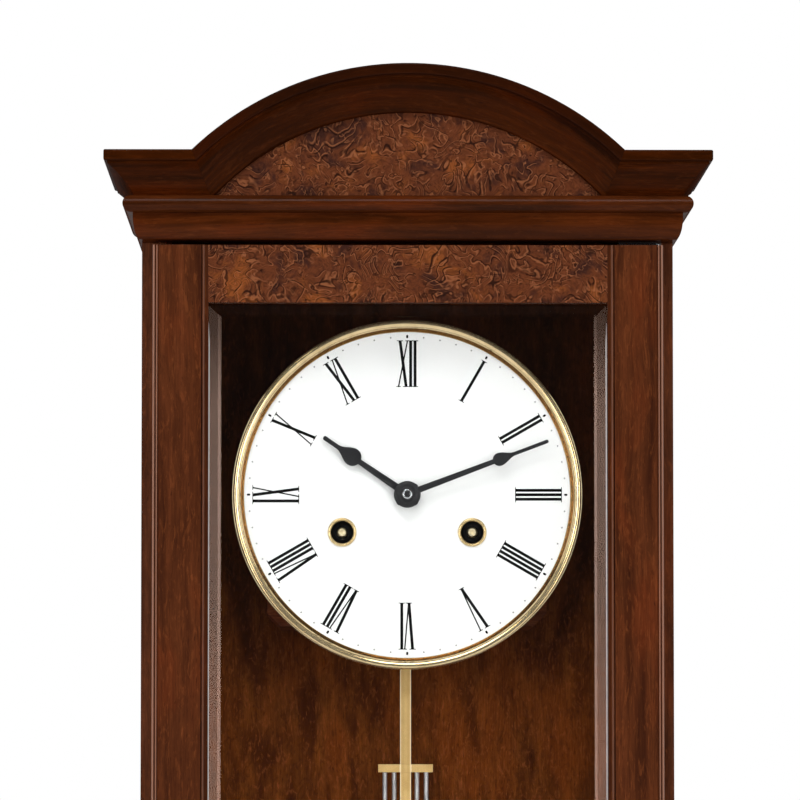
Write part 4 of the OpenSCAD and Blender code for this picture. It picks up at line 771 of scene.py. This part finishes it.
tip = turned_part([(0, 0), (0.00128, 0), (0.0013, 0.0013), (0.0010, 0.0016), (0, 0.0017)], arbor_at, 32,
                  base=tip_at)
make_piece("arbor_tip", [tip], satin_black, "minute", True)


# Pendulum. A flat brass rod with a brass cross bar at each end of four bright steel rods, and a
# heavy brass bob with a turned face. The nut under the bob sets its height.
bob_low, bob_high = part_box("pendulum_bob")
bob_z = (bob_low.z + bob_high.z) / 2
rod_half = 0.0030
rod_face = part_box("pendulum_rod")[0].y
# Painted reflection on the rod's face: a bright line down each edge and a darker line each side of the
# middle.
rod_painted_reflection = ((rod_half - 0.0001, 0.0006, (255, 236, 196), 1.0),
             (rod_half * 0.45, 0.0007, (206, 166, 100), 0.4))
dress(metal("satin_brass", srgb(230, 193, 126), srgb(214, 174, 106), 0.46, 0.12, marked=(1400, 1400, 60),
            metallic=0.5, lines=rod_painted_reflection, front=rod_face), "pendulum_rod")
dress(metal("rod_steel", srgb(196, 194, 194), srgb(168, 166, 168), 0.34, marked=(900, 900, 40),
            metallic=0.6), "gridiron_rods")
dress(metal("turned_brass", brass_light, brass_deep, 0.14, 0.10, turned=(0, bob_z)), "pendulum_bob")
dress(metal("nut_brass", brass_light, brass_deep, 0.2), "rating_nut")


# Door. Two reeded walnut stiles, a top and a bottom rail faced with burl veneer, and one clear
# pane with ground bevels, held by beads from behind. Steel pivots carry it and a magnet holds it.
edge_x, inner_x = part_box("door_stile_right")[1].x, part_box("door_stile_right")[0].x
# Lines down the stiles: the pale ones on the reed crests and the inner bead are painted highlights, partly
# a worn edge; the dark ones in the quirks and along the inner edge are painted shade.
stile_painted_lines = ((edge_x - 0.0005, 0.0008, (150, 108, 88), 0.85),
              (edge_x - 0.0015, 0.0004, (50, 20, 8), 0.7),
              (edge_x - 0.0023, 0.0005, (150, 104, 82), 0.75),
              (edge_x - 0.0034, 0.0004, (60, 24, 8), 0.5),
              (inner_x + 0.0023, 0.0006, (132, 90, 70), 0.5),
              (inner_x + 0.0035, 0.00035, (26, 9, 2), 0.95),
              (inner_x + 0.0006, 0.0012, (52, 24, 12), 0.7))
for side, seed in (("left", 12.3), ("right", 15.8)):
    stile = walnut("walnut_" + side + "_stile", "z", seed, edge=0.0002, flame=0.25, lines=stile_painted_lines)
    dress(stile, "door_stile_" + side)
dress(walnut("walnut_rails", "x", 17.1), "door_top_rail", "door_bottom_rail")
dress(walnut("walnut_beads", "z", 18.4), "glass_beads")
dress(burl("burl_rails", 3.9), "door_burl")
dress(bright_steel, "door_pivots", "pivot_plates")
dress(paint("ferrite", srgb(30, 30, 32), 0.6, 0.2), "door_magnet")


def clear_glass(name, tint):
    """Float glass. Lamps shine through it without a caustic, because it is clear to shadow rays."""
    made, tree, shader = new_material(name)
    connect(tree, shader, Base_Color=tint, Roughness=0.0, IOR=1.5, Transmission_Weight=1.0,
            Specular_IOR_Level=0.5)
    clear = add(tree, "BsdfTransparent", {"Color": (0.95, 0.96, 0.955, 1)})
    shade = add(tree, "LightPath").outputs["Is Shadow Ray"]
    mixed = add(tree, "MixShader", {0: shade, 1: shader.outputs[0], 2: clear.outputs[0]})
    tree.links.new(mixed.outputs[0], tree.nodes["Material Output"].inputs["Surface"])
    return made


dress(clear_glass("door_pane", (0.985, 0.99, 0.985, 1)), "door_glass")
dress(clear_glass("side_pane", (0.975, 0.985, 0.98, 1)), "side_glass")


# Bevel edge highlight. A thin pale prism runs up each side of the pane, in the corner between glass
# and frame. It is a painted highlight: a pale line along the bevel's outer edge that thins out near the
# top.
def bevel_highlight_prism(start, end, off_frame, off_glass, thin=1.0):
    """A three-sided prism from start to end: the corner itself, a point on the glass and one on the
    frame, with both ends closed, and its end thinned to a share."""
    section = np.array([(0, 0, 0), off_glass, off_frame], float)
    points = np.concatenate([section + start, section * thin + end])
    return points, [[0, 1, 4, 3], [1, 2, 5, 4], [2, 0, 3, 5], [2, 1, 0], [3, 4, 5]]


glass_low, glass_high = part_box("door_glass")
rail_top, rail_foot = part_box("door_top_rail")[0].z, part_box("door_bottom_rail")[1].z
bevel_width, bevel_slope, highlight_width = 0.013, 2.8 / 13, 0.0006
corner_y = glass_low.y + (bevel_width - (glass_high.x - inner_x)) * bevel_slope
highlight_heights = rail_foot, rail_top - 0.022, rail_top - 0.010
beads = []
for side_x in (-1, 1):
    off_frame, off_glass = (0, -highlight_width, 0), (-side_x * highlight_width, -highlight_width * bevel_slope, 0)
    foot, bend, top = ((side_x * inner_x, corner_y, height) for height in highlight_heights)
    beads.append(bevel_highlight_prism(foot, bend, off_frame, off_glass))
    beads.append(bevel_highlight_prism(bend, top, off_frame, off_glass, 0.15))
highlight_paint, tree, shader = new_material("bevel_edge_painted_highlight")
haze = noise(tree, add(tree, "TexCoord").outputs["Object"], 300, 2).outputs[0]
connect(tree, shader, Base_Color=blend(tree, haze, srgb(176, 168, 164), srgb(206, 200, 198)),
        Roughness=maths(tree, "MULTIPLY_ADD", haze, 0.2, 0.2))
make_piece("bevel_edge_highlight", beads, highlight_paint, "door")
